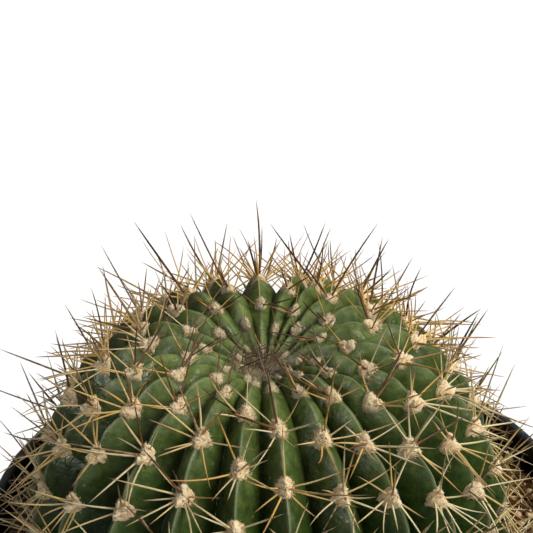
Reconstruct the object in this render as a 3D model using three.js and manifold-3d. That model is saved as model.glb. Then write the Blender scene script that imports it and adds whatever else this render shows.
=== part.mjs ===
// A round, ribbed cactus growing in a plastic nursery pot.
// Millimetres, +Z up. The origin is the centre of the pot's underside, on the surface it stands on.
// The plant's front faces -Y, and its ribs are counted from there towards +X.

import * as THREE from "three";
import { mergeVertices } from "three/addons/utils/BufferGeometryUtils.js";
import Module from "manifold-3d";

// ---------------------------------------------------------------- driving dimensions

// Pot
const POT_HEIGHT = 118;
const RIM_RADIUS = 75; // outside of the rolled lip
const LIP_RADIUS = 1.2; // half the thickness of the lip's bead
const COLLAR_HEIGHT = 13; // the stiff band under the lip
const COLLAR_STEP = 2; // how far the band stands out from the wall below it
const COLLAR_INSET = 0.7; // the band's outside, in from the lip's
const COLLAR_DRAFT = 0.4; // the band narrows this much towards its foot
const BASE_RADIUS = 53;
const BASE_ROUNDING = 1.6;
const WALL = 1.4;
const POT_FLOOR = 1.8;
const POT_SIDES = 48;
const DRAIN_COUNT = 8;
const DRAIN_WIDTH = 9;
const DRAIN_REACH = 13; // along the pot's radius, across the corner of wall and floor
const DRAIN_HEIGHT = 5;
const DRAIN_OUTSIDE = 4; // how far the cut for a slot starts outside the base's edge

// Soil
const SOIL_DROP = 7; // soil surface below the top of the lip
const SOIL_RELIEF = 0.7; // clods stand this much above and below the surface
const SOIL_SIDES = 44;
const SOIL_RINGS = [12, 8, 4]; // rings of clods, in from the soil's edge
const SOIL_EDGE_DROP = 0.6; // the surface falls this much towards the pot's wall
const GAP = 0.3; // between pieces that touch

// Cactus body
const RIBS = 22;
const BODY_RADIUS = 58; // over the rib crests, at the widest circle
const BODY_CENTRE = new THREE.Vector3(-4, -0.8, 117); // centre of the widest circle
const LEAN_X = THREE.MathUtils.degToRad(-2.2); // the crown leans to -X
const LEAN_Y = THREE.MathUtils.degToRad(-0.5); // and a little to -Y
const FIRST_RIB = THREE.MathUtils.degToRad(5.8); // bearing of rib 0 from -Y, towards +X
const CROWN_RISE = 1.03; // height of the dome over the widest circle, in body radii
const CROWN_POWER = 2.75; // how square the shoulder is
const CROWN_ROUND = 1.94;
const DIMPLE_DEPTH = 0.195; // sunken growing point, in body radii
const DIMPLE_WIDTH = 0.252;
const ROOT_DROP = 0.8; // the body below its widest circle, in body radii
const ROOT_POWER = 2.4;
const ROOT_ROUND = 2;
const NECK = 0.17; // radius of the root neck, in body radii
const GROOVE_DEPTH = 8.4; // crest to groove at the widest circle
const GROOVE_SHARE = 0.62; // groove depth over rib spacing, nearer the crown
const GROOVE_FADE = [0.15, 0.6]; // the grooves run out below the widest circle, in body radii
const SHOULDER_SHARE = 0.26; // drop at half of a rib's half width, as a share of the groove depth
const NOTCH = 0.95; // the crest dips this much at an areole
const HUMP = 0.95; // and swells this much between two areoles
const HUMP_AT_FLANK = 0.5; // share of that swelling half way down a flank
const CROWN_RING = 0.09; // the ribs start here, in body radii along the crest
const CROWN_SWELL = 0.3; // the first, youngest hump of each rib
const BURIED_ROWS = 3; // rows of points from the soil down to the root neck

// Areoles: felted cushions along each crest, one spacing apart
const AREOLE_SPACING = 0.227; // along the crest, in body radii
const AREOLE_ROWS = 8;
const AREOLE_LENGTH = 4.4;
const AREOLE_WIDTH = 3.6;
const AREOLE_SHARE = 0.2; // the most of a rib's width that half a cushion takes
const AREOLE_TOP = 0.85; // radius of the cushion's flat top
const AREOLE_TOP_SHARE = 0.6; // and the most of the cushion's half width that it takes
const AREOLE_RISE = 1.1;
const AREOLE_CROWNING = 0.2; // the top's middle stands this much over its edge
const AREOLE_YOUNG_SIZE = 0.5; // size near the growing point, as a share
const AREOLE_GROWTH = 0.9;
const FLANK_SLOPE = 0.45; // how far the cushion's sides hang down the rib's flanks
const FOOT_RISE = 0.1; // the cushion's foot over the bottom of its notch

// Each rib's first areole, as a share of the spacing, from rib 0 round towards +X
const AREOLE_PHASE = [
  0.42, 0.73, 0.07, 0.56, 0.09, 0.61, 0.15, 0.45, -0.02, 0.3, -0.13,
  0.38, 0, 0.5, 0.05, 0.5, 0.12, 0.45, 0.82, 0.3, 0.7, 0.12,
];
// Each rib's wander from an even spacing, as a share of it
const RIB_SHIFT = [
  0.09, 0.1, -0.02, -0.17, -0.24, -0.17, 0.12, 0.08, 0.16, 0, -0.26,
  -0.2, -0.11, -0.04, 0.02, 0.03, -0.02, 0.02, 0.07, 0.16, 0.21, 0.2,
];

// Spines: three-sided needles, each kind with its range of lengths and of the outward share of its
// direction
const CENTRAL = { length: [16, 23], outward: [0.7, 0.95] };
const STEEP = { length: [10, 15], outward: [0.68, 0.94] };
const RADIAL = { length: [9, 14], outward: [0.36, 0.5] };
const SPINE_PLACES = [CENTRAL, RADIAL, STEEP, RADIAL, STEEP, RADIAL]; // round an areole
const SPINE_SPREAD = 1.1; // how much of its place's sixth of a turn a spine's bearing covers
const YOUNG_LENGTH_SHARE = 0.55; // length at the growing point, as a share
const GROWN_SIZE = 0.75; // smaller, younger cushions have a single upright spine
const NEEDLE_SPACE = 0.95; // least distance between needles of two areoles
const NEEDLE_THICKNESS = 0.4; // of a needle at its root, for those of one areole
const SKIN_CLEARANCE = 0.9; // between a spine's outer half and the humps of the crests
const POT_CLEARANCE = 0.9; // between a spine and the soil or the pot
const ATTEMPTS = 14; // draws for each spine before its place stays bare
const YOUNG_SPINES = 14; // dark spines round the growing point
const YOUNG_RING = 0.1; // where they stand, in body radii along the crest
const YOUNG_ROOT = 1.5; // how deep they are sunk
const YOUNG_RADIUS = 0.42;
const YOUNG = { length: [8, 14], outward: [0.8, 0.98] };

// The longest spines, whose tips make the plant's outline: rib (negative towards -X), areole,
// outward share, bearing from the crown's side in degrees, length
const LONG_SPINES = [
  [-10, 2, 0.93, 230, 21], [-9, 2, 0.93, 285, 24], [-9, 3, 0.8, 220, 21], [-8, 3, 0.92, 135, 21],
  [-7, 2, 0.97, 295, 21], [11, 2, 0.97, 0, 20], [11, 3, 0.6, 5, 18], [10, 3, 0.8, 35, 18],
  [9, 2, 0.72, 320, 21], [8, 2, 0.92, 110, 24], [8, 3, 0.87, 40, 18], [8, 4, 0.7, 30, 18],
  [7, 2, 0.98, 300, 18], [7, 3, 0.73, 20, 18], [7, 4, 0.77, 50, 18], [6, 3, 0.95, 45, 18],
  [6, 4, 0.87, 15, 18],
];

const SOIL_TOP = POT_HEIGHT - SOIL_DROP;
const TURN = 2 * Math.PI;

const wasm = await Module();
wasm.setup();

// ---------------------------------------------------------------- helpers

// A repeatable draw between 0 and 1 for a pair of whole numbers
function draw(a, b) {
  const value = Math.sin(a * 12.9898 + b * 78.233 + 4.1) * 43758.5453;
  return value - Math.floor(value);
}

function between([low, high], share) {
  return low + (high - low) * share;
}

function solidOf(geometry) {
  const bare = geometry.index ? geometry.clone() : geometry;
  bare.deleteAttribute("normal");
  bare.deleteAttribute("uv");
  const merged = mergeVertices(bare, 1e-4);
  return new wasm.Manifold(new wasm.Mesh({
    numProp: 3,
    vertProperties: new Float32Array(merged.attributes.position.array),
    triVerts: new Uint32Array(merged.index.array),
  }));
}

function geometryOf(solid) {
  const mesh = solid.getMesh();
  const geometry = new THREE.BufferGeometry();
  geometry.setAttribute("position", new THREE.BufferAttribute(mesh.vertProperties, 3));
  geometry.setIndex(new THREE.BufferAttribute(mesh.triVerts, 1));
  return geometry;
}

// The largest body of a solid: drops loose scraps and fills sealed hollows
function largestBody(solid) {
  const bodies = solid.decompose();
  bodies.sort((a, b) => b.volume() - a.volume());
  return bodies[0];
}

// A closed skin through rings of points, with a single point at each end
function closedSkin(start, rings, end) {
  const count = rings[0].length;
  const points = [start, ...rings.flat(), end];
  const last = points.length - 1;
  const faces = [];
  for (let i = 0; i < count; i += 1) {
    const next = (i + 1) % count;
    faces.push(0, 1 + i, 1 + next);
    for (let ring = 0; ring < rings.length - 1; ring += 1) {
      const low = 1 + ring * count;
      const high = low + count;
      faces.push(low + i, high + i, high + next);
      faces.push(low + i, high + next, low + next);
    }
    faces.push(last, last - count + next, last - count + i);
  }
  const geometry = new THREE.BufferGeometry().setFromPoints(points);
  geometry.setIndex(faces);
  return geometry;
}

// ---------------------------------------------------------------- pot

const COLLAR_FOOT = POT_HEIGHT - COLLAR_HEIGHT;
const COLLAR_OUTSIDE = RIM_RADIUS - COLLAR_INSET;
const WALL_TOP = COLLAR_OUTSIDE - COLLAR_STEP;

// Inside of the pot's wall at a height
function potInside(z) {
  const slope = (WALL_TOP - BASE_RADIUS) / COLLAR_FOOT;
  return BASE_RADIUS + slope * Math.min(z, COLLAR_FOOT) - WALL;
}

function potProfile() {
  const beadRadius = RIM_RADIUS - LIP_RADIUS;
  const beadHeight = POT_HEIGHT - LIP_RADIUS;
  const profile = [
    [0, 0],
    [BASE_RADIUS - BASE_ROUNDING, 0],
    [BASE_RADIUS, BASE_ROUNDING],
    [WALL_TOP, COLLAR_FOOT - COLLAR_STEP / 2],
    [COLLAR_OUTSIDE - COLLAR_DRAFT, COLLAR_FOOT],
    [COLLAR_OUTSIDE, beadHeight - LIP_RADIUS],
  ];
  for (let step = 0; step <= 4; step += 1) {
    const angle = (step / 4) * Math.PI;
    profile.push([
      beadRadius + LIP_RADIUS * Math.cos(angle),
      beadHeight + LIP_RADIUS * Math.sin(angle),
    ]);
  }
  profile.push(
    [COLLAR_OUTSIDE - WALL, beadHeight - LIP_RADIUS],
    [COLLAR_OUTSIDE - COLLAR_DRAFT - WALL, COLLAR_FOOT + WALL],
    [potInside(COLLAR_FOOT), COLLAR_FOOT],
    [potInside(POT_FLOOR + BASE_ROUNDING), POT_FLOOR + BASE_ROUNDING],
    [potInside(POT_FLOOR) - BASE_ROUNDING, POT_FLOOR],
    [0, POT_FLOOR],
  );
  return profile.map(([radius, height]) => new THREE.Vector2(radius, height));
}

function potGeometry() {
  const lathe = new THREE.LatheGeometry(potProfile(), POT_SIDES);
  lathe.rotateX(Math.PI / 2);
  let pot = solidOf(lathe);
  for (let i = 0; i < DRAIN_COUNT; i += 1) {
    const slot = new THREE.BoxGeometry(DRAIN_REACH, DRAIN_WIDTH, 2 * DRAIN_HEIGHT);
    slot.translate(BASE_RADIUS + DRAIN_OUTSIDE - DRAIN_REACH / 2, 0, 0);
    slot.rotateZ(((i + 0.5) / DRAIN_COUNT) * TURN);
    pot = pot.subtract(solidOf(slot));
  }
  return geometryOf(pot);
}

// ---------------------------------------------------------------- cactus body

function domeHeight(rho) {
  const dome = CROWN_RISE * (1 - rho ** CROWN_POWER) ** (1 / CROWN_ROUND);
  return dome - DIMPLE_DEPTH * Math.exp(-((rho / DIMPLE_WIDTH) ** 2));
}

function rootDepth(rho) {
  return -ROOT_DROP * (1 - rho ** ROOT_POWER) ** (1 / ROOT_ROUND);
}

// The crest's path from the growing point to the root neck, with its running length
function crestPath() {
  const path = [];
  const steps = 500;
  const neckAngle = Math.acos(NECK);
  for (let i = 0; i <= steps; i += 1) {
    const rho = Math.sin((i / steps) * (Math.PI / 2));
    path.push({ rho, z: i === steps ? 0 : domeHeight(rho) });
  }
  for (let i = 1; i <= steps; i += 1) {
    const rho = Math.cos((i / steps) * neckAngle);
    path.push({ rho, z: rootDepth(rho) });
  }
  path[0].s = 0;
  for (let i = 1; i < path.length; i += 1) {
    const step = Math.hypot(path[i].rho - path[i - 1].rho, path[i].z - path[i - 1].z);
    path[i].s = path[i - 1].s + step;
  }
  return { path, equator: path[steps].s, end: path[path.length - 1].s };
}

const CREST = crestPath();

// Place and outward direction on the crest's path, in body radii
function crestAt(s) {
  const { path } = CREST;
  let low = 0;
  let high = path.length - 1;
  while (high - low > 1) {
    const middle = (low + high) >> 1;
    if (path[middle].s <= s) low = middle;
    else high = middle;
  }
  const a = path[low];
  const b = path[high];
  const share = Math.min(1, (s - a.s) / (b.s - a.s));
  const length = b.s - a.s;
  return {
    rho: a.rho + (b.rho - a.rho) * share,
    z: a.z + (b.z - a.z) * share,
    outward: [-(b.z - a.z) / length, (b.rho - a.rho) / length],
  };
}

function ribBearing(rib) {
  return FIRST_RIB + ((rib + RIB_SHIFT[rib % RIBS]) * TURN) / RIBS;
}

function grooveDepth(rho, s) {
  const spacing = (TURN * rho * BODY_RADIUS) / RIBS;
  const [fadeStart, fadeEnd] = GROOVE_FADE.map((length) => CREST.equator + length);
  const buried = THREE.MathUtils.smoothstep(s, fadeStart, fadeEnd);
  return Math.min(GROOVE_DEPTH, GROOVE_SHARE * spacing) * (1 - buried);
}

// Tilts and places a point or a direction of the plant
function leaned(vector) {
  return vector
    .applyAxisAngle(new THREE.Vector3(0, 1, 0), LEAN_X)
    .applyAxisAngle(new THREE.Vector3(1, 0, 0), -LEAN_Y);
}

// Right-handed axes of the skin at a bearing: along the rib to the crown, round the body, outward
function skinAxes(bearing, outward) {
  const away = new THREE.Vector3(Math.sin(bearing), -Math.cos(bearing), 0);
  const up = new THREE.Vector3(0, 0, 1);
  const normal = away.clone().multiplyScalar(outward[0]).addScaledVector(up, outward[1]);
  const crownward = away.clone().multiplyScalar(-outward[1]).addScaledVector(up, outward[0]);
  const round = new THREE.Vector3(Math.cos(bearing), Math.sin(bearing), 0);
  return { normal: leaned(normal), crownward: leaned(crownward), round: leaned(round) };
}

// A point on the body, `raise` millimetres out from the crest's path
function bodyPoint(bearing, s, raise) {
  const place = crestAt(s);
  const rho = place.rho * BODY_RADIUS + raise * place.outward[0];
  const z = place.z * BODY_RADIUS + raise * place.outward[1];
  const point = new THREE.Vector3(Math.sin(bearing) * rho, -Math.cos(bearing) * rho, z);
  return leaned(point).add(BODY_CENTRE);
}

// Rows down each rib: a crown ring, then hump and areole in turn, then the buried rows
function ribRows(rib) {
  const phase = AREOLE_PHASE[rib % RIBS];
  const firstAreole = (1 + phase) * AREOLE_SPACING;
  const rows = [{ s: CROWN_RING, swell: 0 }];
  rows.push({ s: (CROWN_RING + firstAreole) / 2, swell: CROWN_SWELL });
  for (let i = 1; i <= AREOLE_ROWS; i += 1) {
    rows.push({ s: (i + phase) * AREOLE_SPACING, swell: -NOTCH, areole: i });
    if (i < AREOLE_ROWS) rows.push({ s: (i + 0.5 + phase) * AREOLE_SPACING, swell: HUMP });
  }
  const first = (AREOLE_ROWS + 1) * AREOLE_SPACING;
  for (let i = 0; i < BURIED_ROWS; i += 1) {
    rows.push({ s: first + ((CREST.end - first) * i) / (BURIED_ROWS - 1), swell: 0 });
  }
  return rows;
}

// The four columns of a rib, from its crest to the next crest: share of the way round, of the
// next rib's rows, of the groove's depth and of the two crests' swelling
const COLUMNS = [
  { round: 0, mix: 0, drop: 0, here: 1, next: 0 },
  { round: 0.25, mix: 0.15, drop: SHOULDER_SHARE, here: HUMP_AT_FLANK, next: 0 },
  { round: 0.5, mix: 0.5, drop: 1, here: 0, next: 0 },
  { round: 0.75, mix: 0.85, drop: SHOULDER_SHARE, here: 0, next: HUMP_AT_FLANK },
];

// One ring of points for each row, grown outwards by `grow`
function bodyRings(grow) {
  const ribs = [];
  for (let rib = 0; rib <= RIBS; rib += 1) ribs.push(ribRows(rib));
  const rings = ribs[0].map(() => []);
  for (let rib = 0; rib < RIBS; rib += 1) {
    const here = ribBearing(rib);
    const next = ribBearing(rib + 1);
    rings.forEach((ring, row) => {
      const a = ribs[rib][row];
      const b = ribs[rib + 1][row];
      COLUMNS.forEach((column) => {
        const s = a.s + (b.s - a.s) * column.mix;
        const drop = column.drop * grooveDepth(crestAt(s).rho, s);
        const swell = column.here * a.swell + column.next * b.swell;
        ring.push(bodyPoint(here + (next - here) * column.round, s, grow + swell - drop));
      });
    });
  }
  return rings;
}

function crownPoint(grow) {
  return bodyPoint(0, 0, grow);
}

function neckPoint(grow) {
  const drop = crestAt(CREST.end).z * BODY_RADIUS - grow;
  return leaned(new THREE.Vector3(0, 0, drop)).add(BODY_CENTRE);
}

// ---------------------------------------------------------------- areoles and spines

const SIXTH = TURN / 6;

function areoleKey(rib, areole) {
  return ((rib + RIBS) % RIBS) * 20 + areole;
}

const LONG_SPINE_AT = new Map(
  LONG_SPINES.map(([rib, areole, outward, degrees, length]) => [
    areoleKey(rib, areole),
    { outward, bearing: THREE.MathUtils.degToRad(degrees), length },
  ]),
);

// Every areole that is clear of the soil, with its place, axes and half sizes; those with the
// longest spines come first
function areoles() {
  const found = [];
  for (let rib = 0; rib < RIBS; rib += 1) {
    ribRows(rib).forEach(({ s, areole }, row) => {
      const bearing = ribBearing(rib);
      const centre = bodyPoint(bearing, s, -NOTCH);
      if (!areole || centre.z < SOIL_TOP + AREOLE_LENGTH / 2) return;
      const place = crestAt(s);
      const size = Math.min(1, AREOLE_YOUNG_SIZE + AREOLE_GROWTH * place.rho);
      const ribWidth = (TURN * place.rho * BODY_RADIUS) / RIBS;
      found.push({
        row,
        column: rib * COLUMNS.length,
        key: areoleKey(rib, areole),
        centre,
        axes: skinAxes(bearing, place.outward),
        size,
        halfLength: (AREOLE_LENGTH / 2) * size,
        halfWidth: Math.min((AREOLE_WIDTH / 2) * size, AREOLE_SHARE * ribWidth),
      });
    });
  }
  const isLong = ({ key }) => (LONG_SPINE_AT.has(key) ? 1 : 0);
  return found.sort((a, b) => isLong(b) - isLong(a));
}

// A place on an areole: bearing round it from the crown's side, then size and rise
function onAreole({ centre, axes }, bearing, along, across, rise) {
  return centre.clone()
    .addScaledVector(axes.crownward, along * Math.cos(bearing))
    .addScaledVector(axes.round, -across * Math.sin(bearing))
    .addScaledVector(axes.normal, rise);
}

// A direction at an areole: bearing round it from the crown's side, and its outward share
function spineDirection({ axes }, bearing, outward) {
  const flat = Math.sqrt(1 - outward * outward);
  return new THREE.Vector3()
    .addScaledVector(axes.crownward, flat * Math.cos(bearing))
    .addScaledVector(axes.round, -flat * Math.sin(bearing))
    .addScaledVector(axes.normal, outward)
    .normalize();
}

// True where a spine's point would touch the soil or the pot
function touchesPot(point) {
  if (point.z < SOIL_TOP + SOIL_RELIEF + POT_CLEARANCE) return true;
  const inside = RIM_RADIUS - 2 * LIP_RADIUS - POT_CLEARANCE;
  const outside = RIM_RADIUS + POT_CLEARANCE;
  const radius = Math.hypot(point.x, point.y);
  return point.z < POT_HEIGHT + POT_CLEARANCE && radius > inside && radius < outside;
}

// Bends a spine up, in small steps, until it passes over the soil and the pot's lip
function clearOfPot(root, direction, length) {
  const bent = direction.clone();
  const samples = [0.25, 0.4, 0.55, 0.7, 0.85, 1];
  const step = 0.12;
  for (let attempt = 0; attempt < 20; attempt += 1) {
    const along = samples.map((share) => root.clone().addScaledVector(bent, length * share));
    if (!along.some(touchesPot)) return bent;
    bent.z += step;
    bent.normalize();
  }
  return null;
}

// Height of a point over the crests, in millimetres
function heightOverCrests(point) {
  const local = point.clone().sub(BODY_CENTRE);
  local.applyAxisAngle(new THREE.Vector3(1, 0, 0), LEAN_Y);
  local.applyAxisAngle(new THREE.Vector3(0, 1, 0), -LEAN_X);
  const rho = Math.hypot(local.x, local.y) / BODY_RADIUS;
  const z = local.z / BODY_RADIUS;
  let best = Infinity;
  let height = 0;
  for (let i = 0; i < CREST.path.length; i += 8) {
    const place = CREST.path[i];
    const distance = Math.hypot(place.rho - rho, place.z - z);
    if (distance < best) {
      best = distance;
      const { outward } = crestAt(place.s);
      height = (rho - place.rho) * outward[0] + (z - place.z) * outward[1];
    }
  }
  return height * BODY_RADIUS;
}

// True where two needles of one areole keep apart, each thick at its root and sharp at its tip
function keepApart(a, b) {
  for (let step = 1; step <= 8; step += 1) {
    const share = step / 8;
    const point = a.at(share, new THREE.Vector3());
    const otherShare = b.closestPointToPointParameter(point, true);
    const thickness = NEEDLE_THICKNESS * (1 - share + 1 - otherShare);
    if (b.at(otherShare, new THREE.Vector3()).distanceTo(point) < thickness) return false;
  }
  return true;
}

function isFree({ key, line }, placed) {
  for (const share of [0.5, 0.75, 1]) {
    const height = heightOverCrests(line.at(share, new THREE.Vector3()));
    if (height < HUMP + SKIN_CLEARANCE) return false;
  }
  return placed.every((other) => {
    if (other.key === key) return keepApart(line, other.line) && keepApart(other.line, line);
    return line.distanceSqToLine3(other.line) > NEEDLE_SPACE ** 2;
  });
}

// The spine wished for at a place of an areole: the listed one, or a draw from its kind's ranges
function wishedSpine({ key, size }, place, attempt) {
  if (place === 0 && attempt === 0 && LONG_SPINE_AT.has(key)) return LONG_SPINE_AT.get(key);
  const kind = size > GROWN_SIZE ? SPINE_PLACES[place] : YOUNG;
  const seed = place * 40 + attempt;
  return {
    bearing: (place + 0.5 + SPINE_SPREAD * (draw(key, seed + 0.1) - 0.5)) * SIXTH,
    outward: between(kind.outward, draw(key, seed + 0.2)),
    length: between(kind.length, draw(key, seed + 0.3)) * between([YOUNG_LENGTH_SHARE, 1], size),
  };
}

function placeSpine(areole, place, root, placed) {
  for (let attempt = 0; attempt < ATTEMPTS; attempt += 1) {
    const { bearing, outward, length } = wishedSpine(areole, place, attempt);
    const wished = spineDirection(areole, bearing, outward);
    const direction = clearOfPot(root, wished, length);
    if (direction) {
      const tip = root.clone().addScaledVector(direction, length);
      const needle = { key: areole.key, line: new THREE.Line3(root, tip) };
      if (isFree(needle, placed)) {
        placed.push(needle);
        return tip;
      }
    }
  }
  return null;
}

// A skin under construction: points, and triangles counter-clockwise from outside
function newSkin() {
  return { points: [], faces: [] };
}

function addPoint(skin, point) {
  skin.points.push(point);
  return skin.points.length - 1;
}

// One triangle, or a three-sided needle standing on it
function addFacet(skin, a, b, c, tip) {
  if (tip === undefined) skin.faces.push(a, b, c);
  else skin.faces.push(a, b, tip, b, c, tip, c, a, tip);
}

// Fills the ring between the eight points round a crest point and an areole's six
function joinRings(skin, outer, inner) {
  let i = 0;
  let j = 0;
  while (i < outer.length || j < inner.length) {
    const outerNext = (i + 1) / outer.length;
    const innerNext = (j + 1) / inner.length;
    if (i < outer.length && outerNext <= innerNext) {
      addFacet(skin, outer[i], outer[(i + 1) % outer.length], inner[j % inner.length]);
      i += 1;
    } else {
      addFacet(skin, inner[j], outer[i % outer.length], inner[(j + 1) % inner.length]);
      j += 1;
    }
  }
}

// A felted cushion: a foot ring on the skin, a smaller top ring and a centre, and its spines
function addAreole(skin, areole, outer, placed) {
  const { halfLength, halfWidth } = areole;
  const rise = areole.size * AREOLE_RISE;
  const topSize = Math.min(AREOLE_TOP, AREOLE_TOP_SHARE * halfWidth);
  const foot = [];
  const top = [];
  for (let i = 0; i < 6; i += 1) {
    const angle = i * SIXTH;
    const sag = -FLANK_SLOPE * halfWidth * Math.abs(Math.sin(angle));
    const footPoint = onAreole(areole, angle, halfLength, halfWidth, sag + FOOT_RISE);
    foot.push(addPoint(skin, footPoint));
    top.push(addPoint(skin, onAreole(areole, angle, topSize, topSize, rise)));
  }
  const centre = addPoint(skin, onAreole(areole, 0, 0, 0, rise + AREOLE_CROWNING));
  joinRings(skin, outer, foot);

  const stand = (place, a, b, c) => {
    const root = new THREE.Vector3()
      .add(skin.points[a]).add(skin.points[b]).add(skin.points[c]).divideScalar(3);
    const tip = placeSpine(areole, place, root, placed);
    return tip ? addPoint(skin, tip) : undefined;
  };
  for (let i = 0; i < 6; i += 1) {
    const next = (i + 1) % 6;
    const hasSpine = i === 0 || areole.size > GROWN_SIZE;
    const onTop = i % 2 === 0;
    const topTip = hasSpine && onTop ? stand(i, centre, top[i], top[next]) : undefined;
    const sideTip = hasSpine && !onTop ? stand(i, foot[i], top[next], top[i]) : undefined;
    addFacet(skin, centre, top[i], top[next], topTip);
    addFacet(skin, foot[i], top[next], top[i], sideTip);
    addFacet(skin, foot[i], foot[next], top[next]);
  }
}

// The body's skin from rings of points; each areole takes the place of its crest point
function plantSkin(grow, cushions) {
  const skin = newSkin();
  const rings = bodyRings(grow).map((ring) => ring.map((point) => addPoint(skin, point)));
  const count = rings[0].length;
  const crown = addPoint(skin, crownPoint(grow));
  const neck = addPoint(skin, neckPoint(grow));
  const last = rings[rings.length - 1];
  const at = (row, column) => rings[row][(column + count) % count];
  const taken = new Set(cushions.map(({ row, column }) => `${row},${column}`));
  const isTaken = (row, column) => taken.has(`${row},${(column + count) % count}`);
  for (let i = 0; i < count; i += 1) {
    addFacet(skin, crown, at(0, i), at(0, i + 1));
    addFacet(skin, neck, last[(i + 1) % count], last[i]);
    for (let row = 0; row < rings.length - 1; row += 1) {
      const corners = [[row, i], [row + 1, i], [row + 1, i + 1], [row, i + 1]];
      if (!corners.some(([r, c]) => isTaken(r, c))) {
        const [a, b, c, d] = corners.map(([r, c]) => at(r, c));
        addFacet(skin, a, b, c);
        addFacet(skin, a, c, d);
      }
    }
  }
  const placed = [];
  cushions.forEach((areole) => {
    const { row, column } = areole;
    const around = [[-1, 0], [-1, -1], [0, -1], [1, -1], [1, 0], [1, 1], [0, 1], [-1, 1]];
    const outer = around.map(([down, right]) => at(row + down, column + right));
    addAreole(skin, areole, outer, placed);
  });
  return skin;
}

function skinGeometry(skin) {
  const used = new Map();
  skin.faces.forEach((index) => {
    if (!used.has(index)) used.set(index, used.size);
  });
  const points = [...used.keys()].map((index) => skin.points[index]);
  const geometry = new THREE.BufferGeometry().setFromPoints(points);
  geometry.setIndex(skin.faces.map((index) => used.get(index)));
  return geometry;
}

function needleSolid(root, direction, length) {
  const needle = new THREE.ConeGeometry(YOUNG_RADIUS, length + YOUNG_ROOT, 3);
  needle.translate(0, (length + YOUNG_ROOT) / 2 - YOUNG_ROOT, 0);
  const turn = new THREE.Quaternion().setFromUnitVectors(new THREE.Vector3(0, 1, 0), direction);
  needle.applyQuaternion(turn);
  needle.translate(root.x, root.y, root.z);
  return solidOf(needle);
}

// Dark spines of the youngest areoles, standing round the growing point
function youngSpines() {
  const spines = [];
  for (let i = 0; i < YOUNG_SPINES; i += 1) {
    const bearing = ((i + 0.6 * draw(i, 31)) / YOUNG_SPINES) * TURN;
    const axes = skinAxes(bearing, [0, 1]);
    const root = bodyPoint(bearing, YOUNG_RING, 0);
    const outward = between(YOUNG.outward, draw(i, 32));
    const direction = spineDirection({ axes }, Math.PI * (0.8 + 0.4 * draw(i, 33)), outward);
    spines.push(needleSolid(root, direction, between(YOUNG.length, draw(i, 34))));
  }
  return spines;
}

function cactusGeometry() {
  let plant = solidOf(skinGeometry(plantSkin(0, areoles())));
  youngSpines().forEach((spine) => {
    plant = plant.add(spine);
  });
  return geometryOf(largestBody(plant));
}

// ---------------------------------------------------------------- soil

function soilRing(radius, z, relief) {
  const ring = [];
  for (let i = 0; i < SOIL_SIDES; i += 1) {
    const angle = (i / SOIL_SIDES) * TURN;
    const lift = relief * (2 * draw(i, Math.round(radius)) - 1);
    ring.push(new THREE.Vector3(radius * Math.cos(angle), radius * Math.sin(angle), z + lift));
  }
  return ring;
}

function soilGeometry() {
  const bottom = POT_FLOOR + GAP;
  const fit = Math.cos(Math.PI / POT_SIDES); // keeps clear of the flats of the pot's wall
  const edge = (z) => potInside(z) * fit - GAP;
  const rings = [
    soilRing(BODY_RADIUS / 2, SOIL_TOP, 0),
    ...SOIL_RINGS.map((inset) => soilRing(edge(SOIL_TOP) - inset, SOIL_TOP, SOIL_RELIEF)),
    soilRing(edge(SOIL_TOP), SOIL_TOP - SOIL_EDGE_DROP, 0),
    soilRing(edge(bottom + BASE_ROUNDING), bottom + BASE_ROUNDING, 0),
    soilRing(edge(bottom) - BASE_ROUNDING, bottom, 0),
  ];
  const skin = closedSkin(new THREE.Vector3(0, 0, SOIL_TOP), rings, new THREE.Vector3(0, 0, bottom));
  const plant = solidOf(skinGeometry(plantSkin(2 * GAP, [])));
  return geometryOf(largestBody(solidOf(skin).subtract(plant)));
}

// ---------------------------------------------------------------- assembly

function piece(name, geometry, finish) {
  const mesh = new THREE.Mesh(geometry, new THREE.MeshStandardMaterial(finish));
  mesh.name = name;
  return mesh;
}

const pottedCactus = new THREE.Group();
pottedCactus.add(
  piece("pot", potGeometry(), { color: 0x17191b, roughness: 0.5, metalness: 0 }),
  piece("soil", soilGeometry(), { color: 0x4a3524, roughness: 0.95, metalness: 0 }),
  piece("cactus", cactusGeometry(), { color: 0x3d6b3f, roughness: 0.45, metalness: 0 }),
);

export default pottedCactus;
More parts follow.
